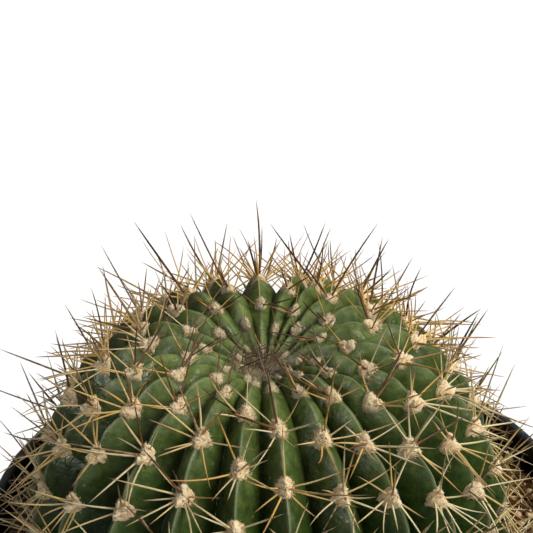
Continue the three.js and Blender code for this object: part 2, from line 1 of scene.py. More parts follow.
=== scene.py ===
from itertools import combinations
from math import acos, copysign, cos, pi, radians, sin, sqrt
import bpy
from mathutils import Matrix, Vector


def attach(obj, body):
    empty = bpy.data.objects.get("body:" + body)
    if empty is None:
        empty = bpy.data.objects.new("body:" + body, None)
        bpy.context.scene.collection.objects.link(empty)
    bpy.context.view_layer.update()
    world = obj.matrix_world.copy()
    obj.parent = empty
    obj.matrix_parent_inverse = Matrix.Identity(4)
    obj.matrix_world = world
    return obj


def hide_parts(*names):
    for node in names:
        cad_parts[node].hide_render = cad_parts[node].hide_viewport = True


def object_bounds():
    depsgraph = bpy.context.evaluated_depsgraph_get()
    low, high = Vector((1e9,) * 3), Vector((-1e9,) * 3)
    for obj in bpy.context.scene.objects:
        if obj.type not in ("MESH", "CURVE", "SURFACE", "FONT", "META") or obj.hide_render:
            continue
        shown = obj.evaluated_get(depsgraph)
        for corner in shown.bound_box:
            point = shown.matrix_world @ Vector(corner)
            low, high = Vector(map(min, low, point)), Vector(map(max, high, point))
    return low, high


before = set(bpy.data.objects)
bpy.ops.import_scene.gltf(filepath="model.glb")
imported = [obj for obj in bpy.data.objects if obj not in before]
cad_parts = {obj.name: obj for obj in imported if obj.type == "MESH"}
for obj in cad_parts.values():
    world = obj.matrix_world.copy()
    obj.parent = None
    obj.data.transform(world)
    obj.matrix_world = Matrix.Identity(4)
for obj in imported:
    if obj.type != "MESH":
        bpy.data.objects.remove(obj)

# A round, ribbed cactus in a plastic nursery pot.
# Metres, +Z up. The origin is the centre of the pot's underside. The plant's front faces -Y, and
# its ribs are counted from there towards +X.

from types import SimpleNamespace

import bpy
import numpy as np
from mathutils import Matrix, Vector

CAD_BOUNDS = [list(corner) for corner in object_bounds()]
TURN = 2 * pi

# ---------------- driving dimensions

# Smooth noise
WAVES = 6  # in each octave
OCTAVE_STEP = 2.03
NOISE_GAIN = 1.6

# Pot
POT_HEIGHT = 0.118
RIM_RADIUS = 0.075  # outside of the rolled lip
LIP_RADIUS = 0.0012  # half the thickness of the lip's bead
COLLAR_HEIGHT = 0.013
COLLAR_STEP = 0.002  # the collar stands out this much from the wall
COLLAR_INSET = 0.0007  # and is this much inside the lip
COLLAR_DRAFT = 0.0004
COLLAR_EDGE = 0.0002  # one step of the small roundings at the collar
BASE_RADIUS = 0.053
BASE_ROUNDING = 0.0016
WALL = 0.0014
POT_FLOOR = 0.0018
UNDERSIDE_RING = 0.02
WALL_RINGS = (0.03, 0.06, 0.09)  # heights
POT_SIDES = 192
SHARPEST_BEND = radians(38)  # that is shaded smooth
DRAIN_COUNT = 8
DRAIN_WIDTH = 0.009
DRAIN_REACH = 0.013
DRAIN_HEIGHT = 0.005
DRAIN_OUTSIDE = 0.004
COLLAR_FOOT = POT_HEIGHT - COLLAR_HEIGHT
COLLAR_OUTSIDE = RIM_RADIUS - COLLAR_INSET
WALL_TOP = COLLAR_OUTSIDE - COLLAR_STEP

# Soil
SOIL_TOP = POT_HEIGHT - 0.007
SOIL_GAP = 0.0003  # between the soil and the pot's wall
SOIL_RELIEF = 0.0013  # clods over and under the surface
CLODS = ((0.017, 41, 0.5), (0.005, 42, 0.35))  # size, seed and share of the relief
SOIL_RINGS = 30
SOIL_EDGE_DROP = 0.0008  # at the wall, over the first rings
SOIL_EDGE_RINGS = 3
HOLLOW_DROP = 0.002  # from the surface to the hollow's upper edge
HOLLOW_BITE = 0.0002  # the hollow is this much inside the plant's skin
GRAINS = 2600
GRAIN_RADIUS = (0.00035, 0.0015)
GRAIN_RISE = 0.25  # of its middle over the surface, in radii
FIBRES = 620
FIBRE_LENGTH = (0.005, 0.018)
FIBRE_RADIUS = (0.00009, 0.00019)
FIBRE_STEPS = 9
FIBRE_CURL = 0.25
FIBRE_WOBBLE = 0.12
FIBRE_LIFT = (0.0004, 0.0012)  # of its ends over the soil, and at most of its middle over them
OPEN_SOIL = (0.04, 0.0715)  # radii in the pot between which places are drawn
GRAIN_CLEARANCE = (0.0485, 0.0012)  # from the plant's centre, and from the wall
FIBRE_CLEARANCE = (0.047, 0.0008)

# Cactus body
RIBS = 22
BODY_RADIUS = 0.058  # over the rib crests, at the widest circle
BODY_CENTRE = np.array([-0.004, -0.0008, 0.117])
LEAN_X = radians(-2.2)
LEAN_Y = radians(-0.5)
FIRST_RIB = radians(5.8)
CROWN_RISE = 1.03  # height of the dome over the widest circle, in body radii
CROWN_POWER = 2.75
CROWN_ROUND = 1.94
DIMPLE_DEPTH = 0.195
DIMPLE_WIDTH = 0.252
ROOT_DROP = 0.8
ROOT_POWER = 2.4
ROOT_ROUND = 2.0
NECK = 0.17
GROOVE_DEPTH = 0.0084
GROOVE_SHARE = (0.31, 0.62)  # of the rib's width, near the crown and lower down
GROOVE_GROWTH = (0.22, 0.7)  # radii between which the one becomes the other
GROOVE_FADE = (0.15, 0.6)  # under the widest circle
NOTCH = 0.00095  # the crest dips this much at an areole
HUMP = 0.00095  # and swells this much between two areoles
HUMP_POWER = 0.85
HUMP_FADE = (0.1, 0.4)  # under the widest circle
SWELL_POWER = 1.2  # how fast a hump dies down across the rib
CALM_RADIUS = 0.3  # inside it the humps and dents fade out, in body radii
RIDGE_POWER = (1.34, 1.12)  # how round the ridge is near the crown, and how angular lower down
FLANK_POWER = (0.88, 1.08)  # how full the flanks are near the crown, and how hollow lower down
RIDGE_GROWTH = (0.35, 0.85)  # radii between which the one becomes the other
HUMP_FULLNESS = 0.08  # a hump's FLANK_POWER is this much less, so that its flanks are fuller
WANDER = 0.0003  # each flank's slow waves
WANDER_RATE = 9  # radians for each body radius along the crest
WANDER_TURN = 2.4  # from each rib to the next
DENTS = 0.00011  # dents and bulges of the skin
DENT_SIZE = 0.007
RIDGE_HIGHLIGHT = 0.045  # half width of the painted highlight along a crest, as a share of the rib
COLUMNS_PER_RIB = 20
ROWS_SHOWN = 205  # from the growing point to just under the soil
ROWS_BURIED = 14
LAST_SHOWN = 0.22  # how far the shown rows go under the widest circle
CROWN_SINK = 0.0002

# Areoles
AREOLE_SPACING = 0.227  # along the crest, in body radii
AREOLE_ROWS = 8
AREOLE_LENGTH = 0.0052
AREOLE_WIDTH = 0.0044
AREOLE_SHARE = 0.3  # its half width is at most this share of the rib's width
AREOLE_RISE = 0.0017
AREOLE_FOOT = 0.0005  # how deep its edge is sunk in the skin
AREOLE_CLEARANCE = 0.0022  # between the lowest areole's centre and the soil
AREOLE_YOUNG_SIZE = 0.5
AREOLE_GROWTH = 0.9
WORN_SHARE = 0.3  # of its width and length, that the felt of the oldest areoles has lost
WORN_AGES = (0.66, 0.98)
YOUNGEST_AREOLE = 0.075  # nearest to the growing point, in body radii along the crest
FELT_SIDES = 28
FELT_RINGS = 8
FELT_POWER = 2.6
FELT_ROUND = 0.6
FELT_EDGE = (0.8, 1.05)  # shares of the way out between which the felt sinks to its foot
FELT_OUTLINE = 0.09  # raggedness of the mound's outline
FELT_LUMPS = 0.16
FELT_DEPTH = 0.0014  # of the mound's underside
TUFTS = 312  # clumps of felt on a full-grown areole
TUFT_LENGTH = (0.00025, 0.00085)
TUFT_WIDTH = (0.00006, 0.00017)
TUFT_SINK = 0.0003

# Each rib's first areole, as a share of the spacing, from rib 0 round towards +X
AREOLE_PHASE = [
    0.42, 0.73, 0.07, 0.56, 0.09, 0.61, 0.15, 0.45, -0.02, 0.3, -0.13,
    0.38, 0, 0.5, 0.05, 0.5, 0.12, 0.45, 0.82, 0.3, 0.7, 0.12,
]
# Each rib's wander from an even spacing, as a share of it
RIB_SHIFT = [
    0.09, 0.1, -0.02, -0.17, -0.24, -0.17, 0.12, 0.08, 0.16, 0, -0.26,
    -0.2, -0.11, -0.04, 0.02, 0.03, -0.02, 0.02, 0.07, 0.16, 0.21, 0.2,
]

# Spines
RADIAL_COUNT = (11, 13)
RADIAL_LENGTH = (0.0114, 0.018)
RADIAL_OUTWARD = (0.25, 0.75)  # outward share of the direction
RADIAL_RADIUS = 0.000225
FRONT_LOSS = 0.44  # share of the radial spines lost at the plant's front, none at its back
SHORT_CHANCE = 0.2  # that a radial spine is stunted
SHORT_SHARE = 0.45  # of its length, that it then lacks
CENTRAL_LENGTH = (0.0145, 0.0215)
CENTRAL_OUTWARD = (0.62, 0.95)
CENTRAL_SWING = 0.95  # radians to either side of the crown's side
CENTRAL_RADIUS = 0.00026
YOUNG_THICKNESS = 0.15  # of a spine at the growing point, as a share of its full one
YOUNG_LENGTH = 0.3
BLEACH_AGE = 0.45  # how much paler the oldest spines are
PAINTED_FRONT_LIGHT = 0.32  # and, as painted light, those at the plant's front; those at its back are darker as painted shade
TIP_SHARE = 0.18  # of a spine's radius, at its tip
BULB = 0.35  # the root is this much thicker
BULB_LENGTH = 0.09
CROWN_SPINES = 10
CROWN_REACH = (0.04, 0.14)  # from the growing point, in body radii
CROWN_LENGTH = (0.004, 0.011)
CROWN_RADIUS = (0.00012, 0.0002)
WOOL_HAIRS = 1700
WOOL_REACH = (0, 0.125)
WOOL_LENGTH = (0.0005, 0.0016)
WOOL_RADIUS = (0.00006, 0.00013)
SPINE_SIDES = 6
SPINE_STEPS = 7
SPINE_SINK = 0.0009  # how deep a root is sunk in the felt
SPINE_CLEARANCE = 0.0008  # from the pot's lip
SPINE_HEIGHT = 0.0016  # least height over the soil
BOUNDS_MARGIN = 0.00025  # between a tip and the CAD part's bounds

# The longest spines, whose tips make the plant's outline: rib (negative towards -X), areole,
# outward share, bearing from the crown's side in degrees, length
LONG_SPINES = [
    (-10, 2, 0.93, 230, 0.021), (-9, 2, 0.93, 285, 0.024), (-9, 3, 0.8, 220, 0.021),
    (-8, 3, 0.92, 135, 0.021), (-7, 2, 0.97, 295, 0.021), (11, 2, 0.97, 0, 0.021),
    (11, 3, 0.6, 5, 0.018), (10, 3, 0.8, 35, 0.018), (9, 2, 0.72, 320, 0.021),
    (8, 2, 0.92, 110, 0.024), (8, 3, 0.87, 40, 0.018), (8, 4, 0.7, 30, 0.018),
    (7, 2, 0.98, 300, 0.018), (7, 3, 0.73, 20, 0.018), (7, 4, 0.77, 50, 0.018),
    (6, 3, 0.95, 45, 0.018), (6, 4, 0.87, 15, 0.018),
]

# Camera, from the pot's rim, the plant's outline and its areoles in the picture
IMAGE_SIDE = 533  # pixels
FOCAL_PIXELS = 1611
CAMERA_DISTANCE = 0.406  # from the body's centre
CAMERA_ELEVATION = radians(41.48)
CAMERA_YAW = radians(0.27)
CAMERA_PITCH = radians(-9.15)
CAMERA_ROLL = radians(0.7)
SENSOR_WIDTH = 36.0

# Light and floor
KEY_SIDE = (0.88, -0.28, 1.0)  # towards the key light
KEY_STRENGTH = 4.5
KEY_SPREAD = radians(28)
KEY_COLOUR = (1.0, 0.975, 0.93)
SKY_COLOUR = (1.0, 0.97, 0.88, 1)
SKY_STRENGTH = 0.22
SHEEN_COLOUR = (0.97, 1.0, 0.85)
SHEEN_TARGET = (0, 0, 0.14)
SHEEN_LAMPS = {  # place, size and power
    "high_sheen": ((-0.5, -0.6, 1.0), 0.12, 15),
    "low_sheen": ((-0.78, -0.72, 0.68), 0.1, 20),
}
FLOOR_REACH = 40.0

# ---------------- helpers


def between(limits, share):
    return limits[0] + (limits[1] - limits[0]) * share


def smoothstep(value, low, high):
    t = np.clip((value - low) / (high - low), 0, 1)
    return t * t * (3 - 2 * t)


def unit(vectors):
    return vectors / np.linalg.norm(vectors, axis=-1, keepdims=True)


def new_piece(name, points, polygons, values=None, smooth=True):
    """An object from points and arrays of polygons, each array of one polygon size."""
    mesh = bpy.data.meshes.new(name)
    mesh.vertices.add(len(points))
    mesh.vertices.foreach_set("co", np.asarray(points, np.float32).ravel())
    corners = np.concatenate([p.ravel() for p in polygons]).astype(np.int32)
    sizes = np.concatenate([np.full(len(p), p.shape[1]) for p in polygons])
    mesh.loops.add(len(corners))
    mesh.loops.foreach_set("vertex_index", corners)
    mesh.polygons.add(len(sizes))
    mesh.polygons.foreach_set("loop_start", (np.cumsum(sizes) - sizes).astype(np.int32))
    for key, column in (values or {}).items():
        attribute = mesh.attributes.new(key, "FLOAT", "POINT")
        attribute.data.foreach_set("value", np.asarray(column, np.float32).ravel())
    mesh.update(calc_edges=True)
    mesh.validate()
    if smooth:
        mesh.shade_smooth()
    piece = bpy.data.objects.new(name, mesh)
    bpy.context.scene.collection.objects.link(piece)
    return piece


def grid_faces(rings, count):
    """Quads between neighbouring rings of count points each, closed round."""
    ring = np.arange(rings - 1)[:, None] * count
    column = np.arange(count)[None, :]
    following = (column + 1) % count
    quads = [ring + column, ring + count + column, ring + count + following, ring + following]
    return np.stack(np.broadcast_arrays(*quads), -1).reshape(-1, 4)


def fan_faces(centre, first, count, outward=True):
    """Triangles from one point to a ring of count points."""
    column = np.arange(count)
    a, b = first + column, first + (column + 1) % count
    fan = [np.full(count, centre), a, b] if outward else [np.full(count, centre), b, a]
    return np.stack(fan, -1)


def closed_form(rings, first, last, upward=False):
    """Points and polygons of a closed form: rings of points, and a point to close each end.

    Its rings run down its outside, or up it where upward is true.
    """
    total, count = rings.shape[:2]
    points = np.concatenate([rings.reshape(-1, 3), [first], [last]])
    walls = grid_faces(total, count)
    polygons = [
        walls[:, ::-1] if upward else walls,
        fan_faces(len(points) - 2, 0, count, outward=not upward),
        fan_faces(len(points) - 1, (total - 1) * count, count, outward=upward),
    ]
    return points, polygons


def join(parts):
    """Many small meshes as one. Each is its points, arrays of polygons, and values by name."""
    starts = np.cumsum([0] + [len(part[0]) for part in parts])
    polygons = [
        np.concatenate([faces + start for faces, start in zip(same_kind, starts)])
        for same_kind in zip(*(part[1] for part in parts))
    ]
    values = {key: np.concatenate([part[2][key] for part in parts]) for key in parts[0][2]}
    return np.concatenate([part[0] for part in parts]), polygons, values


def lump_noise(points, seed, octaves=3):
    """Smooth noise of about -1 to 1 from seeded waves, whose longest is one unit of the places."""
    rng = np.random.default_rng(seed)
    total = np.zeros(points.shape[:-1])
    for octave in range(octaves):
        for _ in range(WAVES):
            wave = unit(rng.normal(size=3)) * TURN * OCTAVE_STEP ** octave
            total += np.sin(points @ wave + rng.uniform(0, TURN)) * 0.5 ** octave
    return total / WAVES * NOISE_GAIN


# ---------------- cactus body


def dome_height(rho):
    dome = CROWN_RISE * (1 - rho ** CROWN_POWER) ** (1 / CROWN_ROUND)
    return dome - DIMPLE_DEPTH * np.exp(-((rho / DIMPLE_WIDTH) ** 2))


def root_depth(rho):
    return -ROOT_DROP * (1 - rho ** ROOT_POWER) ** (1 / ROOT_ROUND)


def crest_path():
    """The crest from the growing point to the root neck: radius, height and running length."""
    steps = 1500
    upper = np.sin(np.linspace(0, pi / 2, steps + 1))
    lower = np.cos(np.linspace(0, acos(NECK), steps + 1))[1:]
    heights = dome_height(upper)
    heights[-1] = 0
    rho = np.concatenate([upper, lower])
    z = np.concatenate([heights, root_depth(lower)])
    s = np.concatenate([[0], np.cumsum(np.hypot(np.diff(rho), np.diff(z)))])
    return rho, z, s, s[steps]


PATH_RHO, PATH_Z, PATH_S, EQUATOR = crest_path()
PATH_END = PATH_S[-1]
LEAN = np.array(Matrix.Rotation(-LEAN_Y, 3, "X") @ Matrix.Rotation(LEAN_X, 3, "Y"))


def crest_at(s):
    """Radius, height and outward direction on the crest's path, in body radii."""
    step = 0.002
    rho = np.interp(s, PATH_S, PATH_RHO)
    z = np.interp(s, PATH_S, PATH_Z)
    low, high = np.clip(s - step, 0, PATH_END), np.clip(s + step, 0, PATH_END)
    along_rho = np.interp(high, PATH_S, PATH_RHO) - np.interp(low, PATH_S, PATH_RHO)
    along_z = np.interp(high, PATH_S, PATH_Z) - np.interp(low, PATH_S, PATH_Z)
    length = np.hypot(along_rho, along_z)
    return rho, z, -along_z / length, along_rho / length


def body_point(bearing, s, raised):
    """Points on the body, raised out from the crest's path."""
    rho, z, out_rho, out_z = crest_at(s)
    radius = rho * BODY_RADIUS + raised * out_rho
    height = z * BODY_RADIUS + raised * out_z
    local = np.stack([np.sin(bearing) * radius, -np.cos(bearing) * radius, height], -1)
    return local @ LEAN.T + BODY_CENTRE


def skin_axes(bearing, s):
    """Axes of the skin: towards the crown along the rib, round the body, and outward."""
    _, _, out_rho, out_z = crest_at(s)
    away = np.array([sin(bearing), -cos(bearing), 0])
    up = np.array([0, 0, 1.0])
    crownward = LEAN @ (-away * out_z + up * out_rho)
    round_body = LEAN @ np.array([cos(bearing), sin(bearing), 0])
    normal = LEAN @ (away * out_rho + up * out_z)
    return crownward, round_body, normal


def rib_bearing(rib):
    return FIRST_RIB + (rib + RIB_SHIFT[rib % RIBS]) * TURN / RIBS


def half_pitch(rib, side):
    """Angle from a rib's crest to its groove on that side, as an array like side."""
    after = rib_bearing(rib + 1) - rib_bearing(rib)
    before = rib_bearing(rib) - rib_bearing(rib - 1)
    return np.where(side > 0, after, before) / 2


def rib_columns():
    """For each column round the body: rib, side (-1 to 1 from groove to groove) and bearing.

    The columns are closest together on the crests and in the grooves.
    """
    columns = []
    for rib in range(RIBS):
        for i in range(COLUMNS_PER_RIB):
            turn = i / COLUMNS_PER_RIB * 2 - 1
            side = copysign((1 - cos(turn * pi)) / 2, turn)
            columns.append((rib, side, rib_bearing(rib) + side * float(half_pitch(rib, side))))
    return columns


def groove_depth(rho, s):
    spacing = TURN * rho * BODY_RADIUS / RIBS
    buried = smoothstep(s - EQUATOR, *GROOVE_FADE)
    share = between(GROOVE_SHARE, smoothstep(rho, *GROOVE_GROWTH))
    return np.minimum(GROOVE_DEPTH, share * spacing) * (1 - buried)


def hump_share(s, rib):
    """0 in the notch of an areole, 1 on the hump between two."""
    q = s / AREOLE_SPACING - AREOLE_PHASE[rib]
    return np.abs(np.sin(pi * q)) ** HUMP_POWER


def section_share(rho, hump, side):
    """The rib's cross-section: 1 on the crest, 0 in the groove, with a rounded ridge between."""
    grown = smoothstep(rho, *RIDGE_GROWTH)
    fall = np.abs(side) ** between(RIDGE_POWER, grown)
    return (1 - fall) ** (between(FLANK_POWER, grown) - HUMP_FULLNESS * hump)


def calm_share(rho):
    """0 at the growing point, 1 where the humps and dents have their full height."""
    return np.clip(rho / CALM_RADIUS, 0, 1)


def skin_raise(rib, s, side):
    """How far the skin stands out from the crest's path, at a side of -1 to 1 across the rib."""
    rho = crest_at(s)[0]
    hump = hump_share(s, rib)
    fade = calm_share(rho) * (1 - smoothstep(s - EQUATOR, *HUMP_FADE))
    swell = (-NOTCH + (NOTCH + HUMP) * hump) * fade * (1 - side * side) ** SWELL_POWER
    on_flank = (1 - np.abs(side)) * side * 4  # -1 and 1 halfway down the flanks
    wander = WANDER * np.sin(s * WANDER_RATE + rib * WANDER_TURN) * on_flank
    return swell - groove_depth(rho, s) * (1 - section_share(rho, hump, side)) + wander


def body_rows():
    """Where the rows of points lie along the crest, in body radii from the growing point."""
    under_soil = EQUATOR + LAST_SHOWN
    shown = np.linspace(0, 1, ROWS_SHOWN + 1)[1:] * under_soil
    buried = np.linspace(under_soil, PATH_END, ROWS_BURIED + 1)[1:]
    return np.concatenate([shown, buried])


def body_surface(grow=0.0):
    """Points of the ribbed body, row by row, with each point's crest share and hump share."""
    rows = body_rows()
    rho = crest_at(rows)[0]
    points, crest_shares, hump_shares = [], [], []
    for rib, side, bearing in rib_columns():
        hump = hump_share(rows, rib)
        around = np.full(len(rows), bearing)
        raised = grow + skin_raise(rib, rows, np.full(len(rows), side))
        dents = DENTS * lump_noise(body_point(around, rows, raised) / DENT_SIZE, 5, 2)
        points.append(body_point(around, rows, raised + dents * calm_share(rho)))
        crest_shares.append(section_share(rho, hump, side))
        hump_shares.append(hump * (1 - abs(side)))
    return np.stack(points, 1), np.stack(crest_shares, 1), np.stack(hump_shares, 1)


def make_body():
    """The whole ribbed plant; its values also have one for the crown's point and the neck's."""
    rings, crest, hump = body_surface()
    rows, count = rings.shape[:2]
    crown = body_point(0, 0.0, -CROWN_SINK)
    neck = LEAN @ np.array([0, 0, PATH_Z[-1] * BODY_RADIUS]) + BODY_CENTRE
    side = np.array([column[1] for column in rib_columns()])
    values = {
        # ridge: where the painted highlight along each crest falls
        "ridge": np.append(np.tile(np.exp(-((side / RIDGE_HIGHLIGHT) ** 2)), rows), [0, 0]),
        # crest: 1 on the crest, 0 in the groove; it drives the skin's painted shade in the grooves
        "crest": np.append(crest.ravel(), [0.5, 0]),
        "hump": np.append(hump.ravel(), [0.5, 0]),
        "age": np.append(np.repeat(body_rows() / EQUATOR, count), [0, 2]),
    }
    body = new_piece("cactus_body", *closed_form(rings, crown, neck), values)
    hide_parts("cactus")
    body.data.materials.append(skin_material())
    return body


# ---------------- areoles


def areoles():
    """Every areole that is clear of the soil, with its place, axes, age and size."""
    found = []
    for rib in range(RIBS):
        for row in range(AREOLE_ROWS + 1):
            s = (row + AREOLE_PHASE[rib]) * AREOLE_SPACING
            if s < YOUNGEST_AREOLE:
                continue
            rho = crest_at(s)[0]
            bearing = rib_bearing(rib)
            centre = body_point(bearing, s, -NOTCH * calm_share(rho))
            if centre[2] < SOIL_TOP + AREOLE_CLEARANCE:
                continue
            size = min(1, AREOLE_YOUNG_SIZE + AREOLE_GROWTH * rho)
            kept = size * (1 - WORN_SHARE * smoothstep(s / EQUATOR, *WORN_AGES))
            rib_width = TURN * rho * BODY_RADIUS / RIBS
            found.append(SimpleNamespace(
                rib=rib, row=row, s=s, bearing=bearing, rho=rho, age=s / EQUATOR, size=size,
                axes=skin_axes(bearing, s),
                half_length=AREOLE_LENGTH / 2 * kept,
                half_width=min(AREOLE_WIDTH / 2 * kept, AREOLE_SHARE * rib_width),
            ))
    return found


def lean_from(axes, bearing, outward):
    """Directions on the skin: bearing round from the crown's side, and outward share."""
    crownward, round_body, normal = axes
    outward, bearing = np.asarray(outward)[..., None], np.asarray(bearing)[..., None]
    flat = np.sqrt(1 - outward * outward)
    return unit(
        crownward * flat * np.cos(bearing) - round_body * flat * np.sin(bearing) + normal * outward
    )


def felt_height(areole, share):
    """Height of the felt over the skin, a share of the way out to its edge."""
    dome = np.clip(1 - share ** FELT_POWER, 0, 1) ** FELT_ROUND
    return (AREOLE_RISE * dome - AREOLE_FOOT * smoothstep(share, *FELT_EDGE)) * areole.size


def place_at(areole, bearing, share, rise):
    """Places on an areole, a share of the way out to its edge, and over the skin by rise."""
    along = areole.half_length * share * np.cos(bearing)
    across = -areole.half_width * share * np.sin(bearing)
    s = areole.s - along / BODY_RADIUS
    rib_bend = half_pitch(areole.rib, across)
    side = across / (rib_bend * areole.rho * BODY_RADIUS)
    raised = skin_raise(areole.rib, s, side)
    return body_point(areole.bearing + side * rib_bend, s, raised + rise)


def felt_values(areole, tone):
    return {"tone": tone, "age": np.full(len(tone), areole.age)}


def cushion(areole, rng):
    """The felt's mound with painted light and shade on its lumps: its points, polygons and values.
    """
    share = np.repeat(np.linspace(0, 1, FELT_RINGS + 1)[1:], FELT_SIDES)
    bearing = np.tile(np.arange(FELT_SIDES) / FELT_SIDES * TURN, FELT_RINGS)
    outline = np.tile(FELT_OUTLINE * rng.normal(size=FELT_SIDES), FELT_RINGS)
    lumps = 1 + FELT_LUMPS * rng.normal(size=share.size)
    height = felt_height(areole, share) * np.where(share < 0.95, lumps, 1)
    top = place_at(areole, 0.0, 0.0, felt_height(areole, 0.0))
    foot = place_at(areole, 0.0, 0.0, -FELT_DEPTH * areole.size)
    mound = place_at(areole, bearing, share * (1 + outline * share), height)
    points = np.concatenate([[top], mound, [foot]])
    last_ring = 1 + (FELT_RINGS - 1) * FELT_SIDES
    ends = [
        fan_faces(0, 1, FELT_SIDES),
        fan_faces(len(points) - 1, last_ring, FELT_SIDES, outward=False),
    ]
    # Painted light and shade: higher lumps are paler, lower ones darker.
    tone = np.concatenate([[0.6], np.clip((lumps - 0.72) * 1.4, 0.05, 0.9), [0.3]])
    polygons = [grid_faces(FELT_RINGS, FELT_SIDES) + 1, np.concatenate(ends)]
    return points, polygons, felt_values(areole, tone)


def tufts(areole, rng):
    """Clumps of felt hairs over a cushion: pointed blades with three sides, pale tips and roots
    darkened as painted shade.
    """
    size = areole.size
    count = int(TUFTS * size ** 1.5)
    bearing = rng.uniform(0, TURN, count)
    share = np.sqrt(rng.random(count))
    root = place_at(areole, bearing, share, felt_height(areole, share) * 0.9)
    outward = np.clip(0.98 - 0.8 * share ** 2 + rng.normal(size=count) * 0.2, 0.05, 0.98)
    direction = lean_from(areole.axes, bearing + rng.normal(size=count) * 0.5, outward)
    across = unit(np.cross(direction, rng.normal(size=(count, 3))))
    other = np.cross(direction, across)
    length = between(TUFT_LENGTH, rng.random((count, 1))) * between((0.6, 1), size)
    width = between(TUFT_WIDTH, rng.random((count, 1)))
    foot = root - direction * TUFT_SINK
    corners = [
        foot + across * width,
        foot - (across * 0.5 - other * 0.8) * width,
        foot - (across * 0.5 + other * 0.8) * width,
        root + direction * length,
    ]
    shade = rng.random(count)
    # Painted shade: each blade is darker at its root than at its tip.
    tones = np.stack([shade * 0.6, shade * 0.6, shade * 0.6, 0.15 + shade * 0.85], -1)
    blade = np.array([[0, 1, 3], [1, 2, 3], [2, 0, 3], [0, 2, 1]])
    faces = (blade + np.arange(count)[:, None, None] * len(corners)).reshape(-1, 3)
    return np.stack(corners, 1).reshape(-1, 3), [faces], felt_values(areole, tones.ravel())


def make_felt(all_areoles):
    """The areoles' felt in two pieces: a lumpy mound each, and the clumps of hairs on them."""
    rng = np.random.default_rng(11)
    mounds, clumps = [], []
    for areole in all_areoles:
        mounds.append(cushion(areole, rng))
        clumps.append(tufts(areole, rng))
    felt = new_piece("areole_felt", *join(mounds))
    hairs = new_piece("felt_hairs", *join(clumps))
    material = felt_material()
    for piece in (felt, hairs):
        piece.data.materials.append(material)
    return felt, hairs


# ---------------- spines


def touches_pot(points):
    """True where any of a spine's points would touch the soil or the pot's lip."""
    radius = np.hypot(points[:, 0], points[:, 1])
    low = points[:, 2] < SOIL_TOP + SPINE_HEIGHT
    inside, outside = RIM_RADIUS - 2 * LIP_RADIUS - SPINE_CLEARANCE, RIM_RADIUS + SPINE_CLEARANCE
    lip = (points[:, 2] < POT_HEIGHT + SPINE_CLEARANCE) & (radius > inside) & (radius < outside)
    return bool(np.any(low | lip))


def clear_of_pot(root, direction, length):
    """The direction, bent up in small steps until the spine passes over the soil and the lip."""
    shares = np.linspace(0.25, 1, 6)[:, None]
    rise = np.array([0, 0, 0.1])
    bent = direction.copy()
    for _ in range(24):
        if not touches_pot(root + bent * length * shares):
            return bent
        bent = unit(bent + rise)
    return None


def fitted(root, direction, length):
    """The length, shortened in small steps until the tip is inside the CAD part's bounds."""
    low, high = np.array(CAD_BOUNDS)
    while length > BOUNDS_MARGIN:
        tip = root + direction * length
        if np.all(tip > low + BOUNDS_MARGIN) and np.all(tip < high - BOUNDS_MARGIN):
            break
        length *= 0.96
    return length


def spine_line(root, direction, length, bend, rng):
    """A spine's slightly curved middle line."""
    side = unit(np.cross(direction, rng.normal(size=3)))
    t = np.linspace(0, 1, SPINE_STEPS + 1)[:, None]
    straight = root - direction * SPINE_SINK + direction * (length + SPINE_SINK) * t
    return straight + side * bend * length * (t * t - t)


def spine_radii(radius):
    """Radius along a spine: a bulb at the root, then a long even taper to a sharp tip."""
    t = np.linspace(0, 1, SPINE_STEPS + 1)
    bulb = 1 + BULB * np.exp(-((t / BULB_LENGTH) ** 2))
    return radius * between((1, TIP_SHARE), t ** 3) * bulb


def youth(areole):
    """How young an areole is, and how near to the growing point, each 0 to 1."""
    return 1 - smoothstep(areole.rho, 0.35, 0.8), 1 - smoothstep(areole.rho, 0.15, 0.5)


def radials(areole, rng):
    """The spines round an areole's edge, fewer and shorter on young areoles, more on old ones.

    Each is its bearing, outward share, length, radius, darkness, bend, and how far out its root
    is, as a share of the way to the areole's edge.
    """
    young, youngest = youth(areole)
    wanted = rng.integers(RADIAL_COUNT[0], RADIAL_COUNT[1] + 1)
    old = smoothstep(areole.age, 0.75, 1.05)
    count = int(round(wanted * (1 - 0.35 * young - 0.55 * youngest + 0.28 * old)))
    first = pi + rng.normal() * 0.2
    loss = FRONT_LOSS * (1 + cos(areole.bearing)) / 2
    for i in range(count):
        if rng.random() < loss:
            continue
        round_share = (i + rng.normal() * 0.17) / count
        # They stand a little closer on the side away from the crown.
        bearing = first + TURN * (round_share - 0.06 * sin(TURN * round_share))
        outward = between(RADIAL_OUTWARD, rng.random()) + 0.25 * young
        length = between(RADIAL_LENGTH, rng.random())
        length *= between((YOUNG_LENGTH, 1), areole.size)
        length *= (1 - 0.2 * max(0, cos(bearing))) * (1 - 0.35 * youngest)
        length *= 1 - SHORT_SHARE * (rng.random() < SHORT_CHANCE)
        dark = 0.08 + 0.25 * young * rng.random() + 0.4 * youngest * rng.random()
        radius = RADIAL_RADIUS * rng.uniform(0.75, 1.1)
        yield bearing, min(outward, 0.96), length, radius, dark, rng.normal() * 0.15, 0.62


